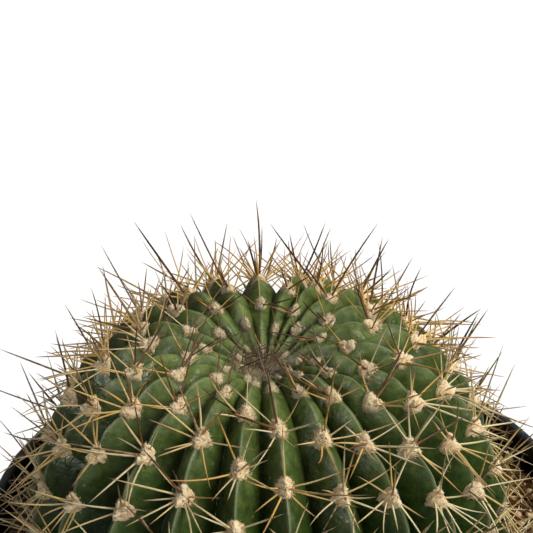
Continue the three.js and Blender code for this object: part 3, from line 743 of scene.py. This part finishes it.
def centrals(areole, rng, listed):
    """The long spines in an areole's middle, at most two, with the same values as radials gives.

    A listed spine takes the place of the first.
    """
    young, youngest = youth(areole)
    spines = [listed] if listed else []
    chance = rng.random()
    wanted = int(chance < 0.5) if youngest > 0.85 else 1 + int(chance < 0.45 + 0.2 * young)
    while len(spines) < wanted:
        bearing = rng.normal() * CENTRAL_SWING
        outward = between(CENTRAL_OUTWARD, rng.random())
        length = between(CENTRAL_LENGTH, rng.random())
        length *= between((YOUNG_LENGTH, 1), areole.size)
        spines.append((outward, bearing, length * (0.8 if spines else 1)))
    for outward, bearing, length in spines:
        dark = np.clip(rng.uniform(0.25, 0.85) + 0.4 * young, 0, 1)
        radius = CENTRAL_RADIUS * rng.uniform(0.8, 1.1) * (1 + 0.2 * young)
        yield bearing, outward, length, radius, dark, rng.normal() * 0.1, 0.22


def spines_of(areole, rng, listed):
    """The spines of one areole: middle line, radius, darkness, tone and age of each."""
    thickness = between((YOUNG_THICKNESS, 1), areole.size ** 2)
    # Paler with age, which is real bleaching; paler at the front and darker at the back, which is
    # painted light and shade.
    bleached_and_front_lit = BLEACH_AGE * areole.age + PAINTED_FRONT_LIGHT * cos(areole.bearing)
    areole_tone = np.clip(rng.normal() * 0.17 + 0.06 + bleached_and_front_lit, 0, 1)
    made = []
    for spines in (radials(areole, rng), centrals(areole, rng, listed)):
        for bearing, outward, length, radius, dark, bend, share in spines:
            root = place_at(areole, bearing, share, float(felt_height(areole, share)) * 0.5)
            direction = clear_of_pot(root, lean_from(areole.axes, bearing, outward), length)
            if direction is not None:
                length = fitted(root, direction, length)
                line = spine_line(root, direction, length, bend, rng)
                tone = np.clip(areole_tone + rng.normal() * 0.22, 0, 1)
                made.append((line, radius * thickness, dark, tone, areole.age))
    return made


def crown_line(rng, reach, power, sunk, outwards, lengths, bend):
    """The middle line of a spine or hair that stands near the growing point."""
    bearing = rng.uniform(0, TURN)
    s = between(reach, rng.random() ** power)
    root = body_point(bearing, s, -sunk)
    around, outward = rng.uniform(0, TURN), rng.uniform(*outwards)
    direction = lean_from(skin_axes(bearing, s), around, outward)
    length = rng.uniform(*lengths)
    return spine_line(root, direction, length, rng.normal() * bend, rng)


def crown_spines(rng):
    """The youngest spines, standing round the growing point and crossing over it."""
    made = []
    for _ in range(CROWN_SPINES):
        line = crown_line(rng, CROWN_REACH, 1, 0.0005, (0.72, 0.99), CROWN_LENGTH, 0.1)
        radius, dark = rng.uniform(*CROWN_RADIUS), rng.uniform(0.5, 1)
        made.append((line, radius, dark, rng.random(), 0.0))
    return made


def new_tubes(name, lines, radii, sides, values):
    """A piece of closed, pointed tubes along middle lines. The values have one for each line."""
    count, steps = lines.shape[:2]
    axis = unit(lines[:, -1] - lines[:, 0])
    helper = np.where(np.abs(axis[:, 2:3]) < 0.8, [[0.0, 0.0, 1.0]], [[1.0, 0.0, 0.0]])
    first = unit(np.cross(axis, helper))[:, None]
    second = np.cross(axis, first[:, 0])[:, None]
    angles = (np.arange(sides) / sides * TURN)[None, :, None]
    ring = first * np.cos(angles) + second * np.sin(angles)
    walls = lines[:, :-1, None] + radii[:, :-1, None, None] * ring[:, None]
    points = np.concatenate([walls.reshape(count, -1, 3), lines[:, -1:], lines[:, :1]], 1)
    each = points.shape[1]
    ends = np.concatenate([
        fan_faces(each - 2, (steps - 2) * sides, sides),
        fan_faces(each - 1, 0, sides, outward=False),
    ])
    start = np.arange(count)[:, None, None] * each
    polygons = [
        (grid_faces(steps - 1, sides)[:, ::-1] + start).reshape(-1, 4),
        (ends + start).reshape(-1, 3),
    ]
    along = np.append(np.repeat(np.arange(steps - 1) / (steps - 1), sides), [1, 0])
    values = {key: np.repeat(column, each) for key, column in values.items()}
    values["along"] = np.tile(along, count)
    return new_piece(name, points.reshape(-1, 3), polygons, values)


def make_spines(all_areoles):
    rng = np.random.default_rng(23)
    long_spines = {
        (rib % RIBS, row): (outward, radians(bearing), length)
        for rib, row, outward, bearing, length in LONG_SPINES
    }
    made = crown_spines(rng)
    for areole in all_areoles:
        made += spines_of(areole, rng, long_spines.get((areole.rib, areole.row)))
    lines, radii, dark, tone, age = zip(*made)
    radii = np.array([spine_radii(radius) for radius in radii])
    values = {"dark": dark, "tone": tone, "age": age}
    spines = new_tubes("cactus_spines", np.array(lines), radii, SPINE_SIDES, values)
    spines.data.materials.append(spine_material())
    return spines


def make_wool():
    """Fine felt in the sunken crown: short, bent, crossing hairs."""
    rng = np.random.default_rng(31)
    lines = np.array([
        crown_line(rng, WOOL_REACH, 0.5, 0.0004, (0.25, 0.95), WOOL_LENGTH, 0.5)
        for _ in range(WOOL_HAIRS)
    ])
    taper = np.linspace(1, 0.2, lines.shape[1])[None]
    radii = rng.uniform(*WOOL_RADIUS, (WOOL_HAIRS, 1)) * taper
    wool = new_tubes("crown_wool", lines, radii, 4, {"tone": rng.random(WOOL_HAIRS)})
    wool.data.materials.append(wool_material())
    return wool


# ---------------- soil


def pot_inside(z):
    """Inside radius of the pot's wall at a height below the collar."""
    slope = (WALL_TOP - BASE_RADIUS) / COLLAR_FOOT
    return BASE_RADIUS + slope * min(z, COLLAR_FOOT) - WALL


def soil_height(x, y):
    """Height of the soil's lumpy surface."""
    places = np.stack([x, y, np.zeros_like(x)], -1)
    relief = sum(lump_noise(places / size, seed) * share for size, seed, share in CLODS)
    return SOIL_TOP + SOIL_RELIEF * relief


def make_soil():
    """The soil as one closed skin: underside, sides, lumpy top, and the hollow round the plant."""
    surface = body_surface(grow=-HOLLOW_BITE)[0]
    first = int(np.argmax(surface[:, :, 2].mean(1) < SOIL_TOP - HOLLOW_DROP))
    first = max(first, int(np.argmax(body_rows() > EQUATOR)))
    hollow = surface[first:]
    bearing = np.array([column[2] for column in rib_columns()])
    rim = np.stack([np.sin(bearing), -np.cos(bearing)], -1)
    bottom = POT_FLOOR + SOIL_GAP
    sides = [(pot_inside(bottom) - BASE_ROUNDING, bottom)]
    sides += [(pot_inside(z), z) for z in (bottom + BASE_ROUNDING, WALL_RINGS[1], COLLAR_FOOT)]
    rings = [
        np.column_stack([rim * (radius - SOIL_GAP), np.full(len(rim), z)]) for radius, z in sides
    ]
    wall = rim * (pot_inside(SOIL_TOP) - SOIL_GAP)
    for step in range(SOIL_RINGS + 1):
        flat = between((wall, hollow[0][:, :2]), step / SOIL_RINGS)
        drop = SOIL_EDGE_DROP * max(0, 1 - step / SOIL_EDGE_RINGS)
        rings.append(np.column_stack([flat, soil_height(flat[:, 0], flat[:, 1]) - drop]))
    rings = np.concatenate([rings, hollow])
    neck = hollow[-1].mean(0)
    soil = new_piece("soil_bed", *closed_form(rings, [0, 0, bottom], neck, upward=True))
    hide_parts("soil")
    soil.data.materials.append(soil_material())
    return soil


def from_plant(x, y):
    return np.hypot(x - BODY_CENTRE[0], y - BODY_CENTRE[1])


def on_soil(rng):
    """A random place on the open soil between the plant and the pot's wall."""
    while True:
        angle = rng.uniform(0, TURN)
        radius = sqrt(rng.uniform(OPEN_SOIL[0] ** 2, OPEN_SOIL[1] ** 2))
        x, y = radius * cos(angle), radius * sin(angle)
        at_wall = radius >= pot_inside(SOIL_TOP) - GRAIN_CLEARANCE[1]
        if from_plant(x, y) > GRAIN_CLEARANCE[0] and not at_wall:
            return x, y


def icosahedron():
    golden = (1 + sqrt(5)) / 2
    points = []
    for a in (-1, 1):
        for b in (-golden, golden):
            points += [(0, a, b), (a, b, 0), (b, 0, a)]
    points = unit(np.array(points, float))
    longest_edge = 1.2
    faces = []
    for i, j, k in combinations(range(12), 3):
        a, b, c = points[[i, j, k]]
        if max(np.linalg.norm(side) for side in (a - b, b - c, c - a)) < longest_edge:
            faces.append((i, j, k) if np.cross(b - a, c - a) @ a > 0 else (i, k, j))
    return points, np.array(faces)


def make_grains():
    """Crumbs of peat and grit lying on the soil, most of them small."""
    rng = np.random.default_rng(53)
    shape, faces = icosahedron()
    parts = []
    for _ in range(GRAINS):
        x, y = on_soil(rng)
        radius = between(GRAIN_RADIUS, rng.random() ** 2.2)
        lump = shape * (1 + 0.22 * rng.normal(size=(len(shape), 1)))
        stretch = np.diag(rng.uniform(0.6, 1.3, 3))
        turn, _ = np.linalg.qr(rng.normal(size=(3, 3)))
        z = float(soil_height(np.array([x]), np.array([y]))[0]) + radius * GRAIN_RISE
        points = (lump @ stretch @ turn) * radius + [x, y, z]
        outward = faces if np.linalg.det(turn) > 0 else faces[:, ::-1]
        parts.append((points, [outward], {"tone": np.full(len(shape), rng.random())}))
    grains = new_piece("soil_grains", *join(parts), smooth=False)
    grains.data.materials.append(crumb_material())
    return grains


def fibre_path(rng):
    """A fibre's curling path on the flat, as its x and y."""
    place = np.array(on_soil(rng))
    heading = rng.uniform(0, TURN)
    curl = rng.normal() * FIBRE_CURL
    step = between(FIBRE_LENGTH, rng.random()) / FIBRE_STEPS
    path = [place]
    for _ in range(FIBRE_STEPS):
        heading += curl + rng.normal() * FIBRE_WOBBLE
        place = place + step * np.array([cos(heading), sin(heading)])
        path.append(place)
    return np.array(path).T


def make_fibres():
    """Coir fibres lying loose over the soil."""
    rng = np.random.default_rng(61)
    arch = np.sin(np.linspace(0, pi, FIBRE_STEPS + 1))
    lines = []
    while len(lines) < FIBRES:
        x, y = fibre_path(rng)
        at_wall = np.hypot(x, y).max() > pot_inside(SOIL_TOP) - FIBRE_CLEARANCE[1]
        if at_wall or from_plant(x, y).min() < FIBRE_CLEARANCE[0]:
            continue
        lift = FIBRE_LIFT[0] + FIBRE_LIFT[1] * rng.random() * arch
        lines.append(np.column_stack([x, y, soil_height(x, y) + lift]))
    radii = rng.uniform(*FIBRE_RADIUS, (FIBRES, 1)) * np.ones((1, FIBRE_STEPS + 1))
    tones = {"tone": rng.uniform(0.35, 1, FIBRES)}
    fibres = new_tubes("soil_fibres", np.array(lines), radii, 5, tones)
    fibres.data.materials.append(crumb_material())
    return fibres


# ---------------- pot


def arc(centre, radius, start, stop, steps):
    """Points of an arc in the profile's plane; angles in degrees from the outward side."""
    angles = np.radians(np.linspace(start, stop, steps + 1))
    return [(centre[0] + radius * cos(a), centre[1] + radius * sin(a)) for a in angles]


def pot_profile():
    """The pot's section from the middle of its underside, up the outside and down the inside."""
    lip = (RIM_RADIUS - LIP_RADIUS, POT_HEIGHT - LIP_RADIUS)
    under_lip = POT_HEIGHT - 2 * LIP_RADIUS
    corner = (BASE_RADIUS - BASE_ROUNDING, BASE_ROUNDING)
    collar_bottom = COLLAR_OUTSIDE - COLLAR_DRAFT
    collar_inside = COLLAR_OUTSIDE - WALL
    return [
        (UNDERSIDE_RING, 0.0),
        *arc(corner, BASE_ROUNDING, -90, -5, 5),
        *((pot_inside(z) + WALL, z) for z in WALL_RINGS),
        (WALL_TOP - 1.5 * COLLAR_EDGE, COLLAR_FOOT - 6 * COLLAR_EDGE),
        (WALL_TOP + COLLAR_EDGE, COLLAR_FOOT - 2 * COLLAR_EDGE),
        (collar_bottom - 3 * COLLAR_EDGE, COLLAR_FOOT),
        (collar_bottom, COLLAR_FOOT + 3 * COLLAR_EDGE),
        (COLLAR_OUTSIDE, under_lip - 2 * COLLAR_EDGE),
        *arc(lip, LIP_RADIUS, -35, 205, 14),
        (collar_inside, under_lip - 5 * COLLAR_EDGE),
        (collar_inside - COLLAR_DRAFT, COLLAR_FOOT + WALL + 3 * COLLAR_EDGE),
        (pot_inside(COLLAR_FOOT) + 2 * COLLAR_EDGE, COLLAR_FOOT + COLLAR_EDGE),
        *((pot_inside(z), z) for z in reversed(WALL_RINGS)),
        (pot_inside(POT_FLOOR + BASE_ROUNDING), POT_FLOOR + BASE_ROUNDING),
        (pot_inside(POT_FLOOR) - BASE_ROUNDING, POT_FLOOR),
    ]


def drain_cutter():
    """Blocks that cut the drainage slots out of the corner of wall and floor."""
    box = np.array([[x, y, z] for x in (-1, 1) for y in (-1, 1) for z in (-1, 1)], float)
    faces = np.array([
        [0, 1, 3, 2], [4, 6, 7, 5], [0, 4, 5, 1], [2, 3, 7, 6], [0, 2, 6, 4], [1, 5, 7, 3],
    ])
    block = box * [DRAIN_REACH / 2, DRAIN_WIDTH / 2, DRAIN_HEIGHT]
    block += [BASE_RADIUS + DRAIN_OUTSIDE - DRAIN_REACH / 2, 0, 0]
    parts = []
    for i in range(DRAIN_COUNT):
        turn = np.array(Matrix.Rotation((i + 0.5) / DRAIN_COUNT * TURN, 3, "Z"))
        parts.append((block @ turn.T, [faces], {}))
    return new_piece("drain_cutter", *join(parts), smooth=False)


def cut_drains(pot):
    cutter = drain_cutter()
    cut = pot.modifiers.new("drain", "BOOLEAN")
    cut.operation = "DIFFERENCE"
    cut.solver = "EXACT"
    cut.object = cutter
    evaluated = pot.evaluated_get(bpy.context.evaluated_depsgraph_get())
    mesh = bpy.data.meshes.new_from_object(evaluated)
    pot.modifiers.clear()
    pot.data = mesh
    bpy.data.objects.remove(cutter)


def make_pot():
    angles = np.arange(POT_SIDES) / POT_SIDES * TURN
    rings = np.array([
        np.column_stack([r * np.cos(angles), r * np.sin(angles), np.full(POT_SIDES, z)])
        for r, z in pot_profile()
    ])
    form = closed_form(rings, [0, 0, 0], [0, 0, POT_FLOOR], upward=True)
    pot = new_piece("pot_shell", *form, smooth=False)
    cut_drains(pot)
    pot.data.shade_smooth()
    pot.data.set_sharp_from_angle(angle=SHARPEST_BEND)
    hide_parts("pot")
    pot.data.materials.append(pot_material())
    return pot


# ---------------- materials

WHITE = (1.0, 1.0, 1.0)


def start_material(name, roughness, specular=0.5):
    """A material and its node tree."""
    material = bpy.data.materials.new(name)
    material.use_nodes = True
    shader = material.node_tree.nodes["Principled BSDF"]
    shader.inputs["Roughness"].default_value = roughness
    shader.inputs["Specular IOR Level"].default_value = specular
    return material, material.node_tree


def finished(material, colour, relief=None, depth=0.0, strength=1.0, roughness=None):
    """The material, with its colour, and its relief and roughness if it has them, linked."""
    tree = material.node_tree
    shader = tree.nodes["Principled BSDF"]
    tree.links.new(colour, shader.inputs["Base Color"])
    if roughness:
        tree.links.new(roughness, shader.inputs["Roughness"])
    if relief:
        inputs = {"Height": relief, "Distance": depth, "Strength": strength}
        bump = add_node(tree, "ShaderNodeBump", inputs)
        tree.links.new(bump.outputs["Normal"], shader.inputs["Normal"])
    return material


def add_node(tree, kind, inputs=None, **settings):
    """A node with its settings. Its inputs are values, linear colours or other nodes' sockets."""
    node = tree.nodes.new(kind)
    for key, value in settings.items():
        setattr(node, key, value)
    for socket, value in (inputs or {}).items():
        if isinstance(value, bpy.types.NodeSocket):
            tree.links.new(value, node.inputs[socket])
        else:
            node.inputs[socket].default_value = (*value, 1) if isinstance(value, tuple) else value
    return node


def attribute(tree, name):
    return add_node(tree, "ShaderNodeAttribute", attribute_name=name).outputs["Fac"]


def place(tree):
    return add_node(tree, "ShaderNodeTexCoord").outputs["Object"]


def noise(tree, scale, detail=3.0, roughness=0.55):
    inputs = {"Vector": place(tree), "Scale": scale, "Detail": detail, "Roughness": roughness}
    return add_node(tree, "ShaderNodeTexNoise", inputs).outputs["Fac"]


def ramp(tree, factor, *stops):
    """Colours along a factor; each stop is its position, then red, green and blue."""
    node = add_node(tree, "ShaderNodeValToRGB", {"Fac": factor})
    elements = node.color_ramp.elements
    while len(elements) < len(stops):
        elements.new(0.5)
    for element, (position, *colour) in zip(elements, stops):
        element.position = position
        element.color = (*colour, 1)
    return node.outputs["Color"]


def mix(tree, factor, a, b, blend="MIX"):
    """Two colours mixed; each is a socket or a linear colour."""
    inputs = {0: factor, 6: a, 7: b}
    return add_node(tree, "ShaderNodeMix", inputs, data_type="RGBA", blend_type=blend).outputs[2]


def calculate(tree, operation, a, b=0.0, c=0.0, clamp=False):
    node = add_node(tree, "ShaderNodeMath", {0: a, 1: b, 2: c}, operation=operation)
    node.use_clamp = clamp
    return node.outputs[0]


def spread(tree, value, low, high, to_low=0.0, to_high=1.0):
    """Maps a value's range to another, clamped."""
    inputs = {
        "Value": value, "From Min": low, "From Max": high, "To Min": to_low, "To Max": to_high,
    }
    return add_node(tree, "ShaderNodeMapRange", inputs).outputs["Result"]


def jitter(tree, scale, reach, detail=3.0):
    """Noise spread over minus to plus reach."""
    return spread(tree, noise(tree, scale, detail), 0.3, 0.7, -reach, reach)


def skin_material():
    """Waxy green skin, lighter near the crown, with painted light on the crests and painted shade
    darkest in the grooves.

    It has mottles, a painted pale sheen on the humps, pale specks, a thin painted highlight along
    each crest, and the wool's brown round the growing point.
    """
    material, tree = start_material("cactus_skin", 0.33, 0.1)
    crest, age, hump = attribute(tree, "crest"), attribute(tree, "age"), attribute(tree, "hump")
    cloud = noise(tree, 105, 4)
    uneven = calculate(tree, "MULTIPLY_ADD", cloud, 0.7, -0.35)
    # Painted light and shade: the colour is darkest in the grooves and lighter on the crests.
    shade = calculate(tree, "ADD", crest, uneven, clamp=True)
    old = ramp(
        tree, shade, (0, 0.006, 0.0155, 0.002), (0.25, 0.0107, 0.026, 0.0034),
        (0.6, 0.0178, 0.0375, 0.0055), (0.9, 0.028, 0.051, 0.0095), (1, 0.037, 0.059, 0.013),
    )
    young = ramp(
        tree, shade, (0, 0.036, 0.052, 0.012), (0.35, 0.06, 0.085, 0.02),
        (0.75, 0.083, 0.117, 0.032), (1, 0.102, 0.141, 0.042),
    )
    colour = mix(tree, spread(tree, age, 0.2, 0.66), young, old)
    mottle = ramp(
        tree, noise(tree, 420, 4, 0.65), (0.3, 0.6, 0.66, 0.58), (0.5, *WHITE), (0.7, 1.6, 1.45, 1.3)
    )
    colour = mix(tree, 1.0, colour, mottle, "MULTIPLY")
    # Painted sheen: a pale grey-green patch on the tops of the humps.
    hump_sheen = calculate(tree, "MULTIPLY", spread(tree, hump, 0.55, 1.0), spread(tree, cloud, 0.4, 0.7))
    colour = mix(tree, calculate(tree, "MULTIPLY", hump_sheen, 0.22), colour, (0.16, 0.2, 0.15))
    cells = add_node(tree, "ShaderNodeTexVoronoi", {"Vector": place(tree), "Scale": 420.0})
    speck = spread(tree, cells.outputs["Distance"], 0.12, 0.2, 1.0, 0.0)
    speck = calculate(tree, "MULTIPLY", speck, spread(tree, noise(tree, 260, 2), 0.58, 0.66))
    colour = mix(tree, calculate(tree, "MULTIPLY", speck, 0.35), colour, (0.3, 0.34, 0.24))
    edge = calculate(tree, "ADD", age, jitter(tree, 900, 0.02))
    colour = mix(tree, spread(tree, edge, 0.05, 0.085, 0.9, 0.0), colour, (0.13, 0.1, 0.055))
    # Painted highlight: a broken pale streak along each crest.
    broken_highlight = spread(tree, noise(tree, 150, 3), 0.35, 0.6, 0.35, 0.95)
    line = calculate(tree, "MULTIPLY", attribute(tree, "ridge"), broken_highlight)
    colour = mix(tree, line, colour, (0.17, 0.2, 0.115))
    gloss = spread(tree, noise(tree, 230, 5, 0.65), 0.48, 0.62, 0.5, 0.17)
    fine = noise(tree, 700, 4, 0.6)
    relief = calculate(tree, "ADD", fine, calculate(tree, "MULTIPLY", cloud, 1.6))
    return finished(material, colour, relief, 0.00028, 0.85, gloss)


def felt_material():
    """Felt with pale tips: tan, greyer on the oldest areoles and darker near the crown."""
    material, tree = start_material("areole_felt", 0.95)
    tone, age = attribute(tree, "tone"), attribute(tree, "age")
    fresh = ramp(
        tree, calculate(tree, "ADD", tone, jitter(tree, 900, 0.2)), (0, 0.32, 0.195, 0.09),
        (0.25, 0.63, 0.45, 0.235), (0.6, 0.67, 0.555, 0.365), (1, 0.62, 0.6, 0.49),
    )
    worn = ramp(
        tree, tone, (0, 0.24, 0.155, 0.08), (0.35, 0.5, 0.38, 0.225), (0.7, 0.61, 0.525, 0.38),
        (1, 0.6, 0.585, 0.49),
    )
    colour = mix(tree, spread(tree, age, 0.6, 0.95), fresh, worn)
    near_crown = ramp(tree, age, (0.1, 0.6, 0.62, 0.62), (0.4, *WHITE))
    colour = mix(tree, 1.0, colour, near_crown, "MULTIPLY")
    return finished(material, colour, noise(tree, 2600), 0.0001, 0.6)


def wool_material():
    material, tree = start_material("crown_wool", 0.9)
    colour = ramp(
        tree, attribute(tree, "tone"), (0, 0.13, 0.095, 0.05), (0.5, 0.3, 0.235, 0.145),
        (1, 0.56, 0.46, 0.31),
    )
    return finished(material, colour)


def spine_material():
    """Stiff spines, from root to tip: amber on young areoles, straw or cream on old ones.

    The darker a spine is, the more it turns brown, which is nearly black in its outer half. As
    painted light, spines are more cream at the plant's front and more golden at its back.
    """
    material, tree = start_material("spine", 0.42, 0.22)
    along, dark, tone = attribute(tree, "along"), attribute(tree, "dark"), attribute(tree, "tone")
    straw = ramp(
        tree, along, (0, 0.28, 0.15, 0.045), (0.08, 0.48, 0.36, 0.14), (0.5, 0.43, 0.32, 0.125),
        (0.8, 0.27, 0.165, 0.07), (1, 0.1, 0.062, 0.04),
    )
    amber = ramp(
        tree, along, (0, 0.28, 0.135, 0.035), (0.08, 0.55, 0.35, 0.095), (0.5, 0.51, 0.31, 0.08),
        (0.8, 0.3, 0.16, 0.055), (1, 0.11, 0.062, 0.04),
    )
    cream = ramp(
        tree, along, (0, 0.33, 0.21, 0.09), (0.08, 0.58, 0.505, 0.3), (0.55, 0.545, 0.47, 0.285),
        (0.82, 0.35, 0.26, 0.14), (1, 0.12, 0.088, 0.06),
    )
    brown = ramp(
        tree, along, (0, 0.3, 0.14, 0.046), (0.15, 0.14, 0.056, 0.02), (0.6, 0.05, 0.023, 0.01),
        (1, 0.062, 0.036, 0.022),
    )
    golden = mix(tree, spread(tree, attribute(tree, "age"), 0.4, 0.7), amber, straw)
    pale = mix(tree, spread(tree, tone, 0.25, 0.65), golden, cream)
    share = calculate(tree, "ADD", dark, jitter(tree, 500, 0.18), clamp=True)
    colour = mix(tree, spread(tree, share, 0.22, 0.78), pale, brown)
    fade = spread(tree, noise(tree, 130, 2), 0.3, 0.7)
    shade = ramp(tree, fade, (0, 0.74, 0.7, 0.66), (0.6, *WHITE), (1, 1.1, 1.06, 1.0))
    colour = mix(tree, 1.0, colour, shade, "MULTIPLY")
    return finished(material, colour, noise(tree, 1500), 0.00005, 0.5)


def soil_material():
    material, tree = start_material("soil", 0.95, 0.12)
    colour = ramp(
        tree, noise(tree, 420, 8, 0.7), (0.3, 0.017, 0.008, 0.002), (0.48, 0.07, 0.035, 0.011),
        (0.6, 0.2, 0.115, 0.046), (0.75, 0.4, 0.26, 0.12),
    )
    return finished(material, colour, noise(tree, 900, 8, 0.7), 0.0012)


def crumb_material():
    material, tree = start_material("soil_crumbs", 0.9, 0.15)
    tone = calculate(tree, "ADD", attribute(tree, "tone"), jitter(tree, 1300, 0.2))
    colour = ramp(
        tree, tone, (0, 0.022, 0.01, 0.003), (0.35, 0.095, 0.049, 0.016), (0.7, 0.31, 0.195, 0.09),
        (1, 0.66, 0.5, 0.3),
    )
    return finished(material, colour, noise(tree, 2600, 4), 0.0002, 0.7)


def pot_material():
    """Black moulded plastic with patches of dust, a painted pale sheen along the lip, and scuffs
    there that dull it.
    """
    material, tree = start_material("pot_plastic", 0.42, 0.36)
    height = add_node(tree, "ShaderNodeSeparateXYZ", {"Vector": place(tree)}).outputs["Z"]
    near_lip = spread(tree, height, POT_HEIGHT - 1.5 * LIP_RADIUS, POT_HEIGHT - 0.5 * LIP_RADIUS)
    scratch = spread(tree, noise(tree, 600, 6, 0.7), 0.5, 0.72)
    dust = spread(tree, noise(tree, 60, 6, 0.62), 0.42, 0.75)
    dusty = calculate(tree, "MULTIPLY", dust, 0.3)
    colour = mix(tree, dusty, (0.0045, 0.0047, 0.0052), (0.035, 0.031, 0.027))
    scuffed = calculate(tree, "MULTIPLY", near_lip, calculate(tree, "MULTIPLY", scratch, 0.5))
    # Painted sheen: the top of the lip is a paler blue-grey.
    colour = mix(tree, near_lip, colour, (0.026, 0.028, 0.035))
    colour = mix(tree, scuffed, colour, (0.13, 0.135, 0.15))
    dull = spread(tree, dust, 0, 1, 0.34, 0.6)
    rough = calculate(tree, "ADD", dull, calculate(tree, "MULTIPLY", scuffed, 0.3))
    return finished(material, colour, noise(tree, 1900, 3), 0.00006, 0.5, rough)


def floor_material():
    material, tree = start_material("floor", 0.9, 0.1)
    return finished(
        material, ramp(tree, noise(tree, 3, 3), (0.3, 0.83, 0.84, 0.87), (0.7, 0.85, 0.86, 0.89))
    )


# ---------------- stage, light and camera


def make_floor():
    points = np.array([[-1, -1, 0], [1, -1, 0], [1, 1, 0], [-1, 1, 0]]) * FLOOR_REACH
    floor = new_piece("floor", points, [np.array([[0, 1, 2, 3]])], smooth=False)
    floor.data.materials.append(floor_material())
    floor.visible_glossy = False  # the pale floor would veil the dark skin's gloss


def new_lamp(name, kind, power, colour, towards):
    """A lamp that shines against a direction; returns its object."""
    light = bpy.data.lights.new(name, kind)
    light.energy = power
    light.color = colour
    lamp = bpy.data.objects.new(name, light)
    lamp.rotation_euler = Vector(towards).to_track_quat("Z", "Y").to_euler()
    bpy.context.scene.collection.objects.link(lamp)
    return lamp


def make_lights():
    """A soft sky, a broad key light, and small lamps that show only as streaks of gloss."""
    world = bpy.data.worlds.new("sky")
    world.use_nodes = True
    background = world.node_tree.nodes["Background"]
    background.inputs["Color"].default_value = SKY_COLOUR
    background.inputs["Strength"].default_value = SKY_STRENGTH
    bpy.context.scene.world = world
    key = new_lamp("key", "SUN", KEY_STRENGTH, KEY_COLOUR, KEY_SIDE)
    key.data.angle = KEY_SPREAD
    for name, (place, size, power) in SHEEN_LAMPS.items():
        lamp = new_lamp(name, "AREA", power, SHEEN_COLOUR, Vector(place) - Vector(SHEEN_TARGET))
        lamp.location = place
        lamp.data.shape = "DISK"
        lamp.data.size = size
        lamp.visible_diffuse = False


def make_camera():
    tilt = Matrix.Rotation(pi / 2 - CAMERA_ELEVATION - CAMERA_PITCH, 3, "X")
    yaw, roll = Matrix.Rotation(CAMERA_YAW, 3, "Z"), Matrix.Rotation(CAMERA_ROLL, 3, "Z")
    offset = Vector((0, -cos(CAMERA_ELEVATION), sin(CAMERA_ELEVATION)))
    place = Vector(BODY_CENTRE) + offset * CAMERA_DISTANCE
    data = bpy.data.cameras.new("camera")
    data.sensor_width = SENSOR_WIDTH
    data.lens = SENSOR_WIDTH * FOCAL_PIXELS / IMAGE_SIDE
    data.clip_start, data.clip_end = 0.01, 50
    camera = bpy.data.objects.new("camera", data)
    camera.matrix_world = Matrix.Translation(place) @ (yaw @ tilt @ roll).to_4x4()
    bpy.context.scene.collection.objects.link(camera)
    bpy.context.scene.camera = camera


# ---------------- assembly


def main():
    bpy.context.scene.view_settings.view_transform = "Standard"
    make_camera()
    all_areoles = areoles()
    pieces = [
        make_body(),
        *make_felt(all_areoles),
        make_spines(all_areoles),
        make_wool(),
        make_soil(),
        make_grains(),
        make_fibres(),
        make_pot(),
    ]
    for piece in pieces:
        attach(piece, "root")
    make_floor()
    make_lights()


main()
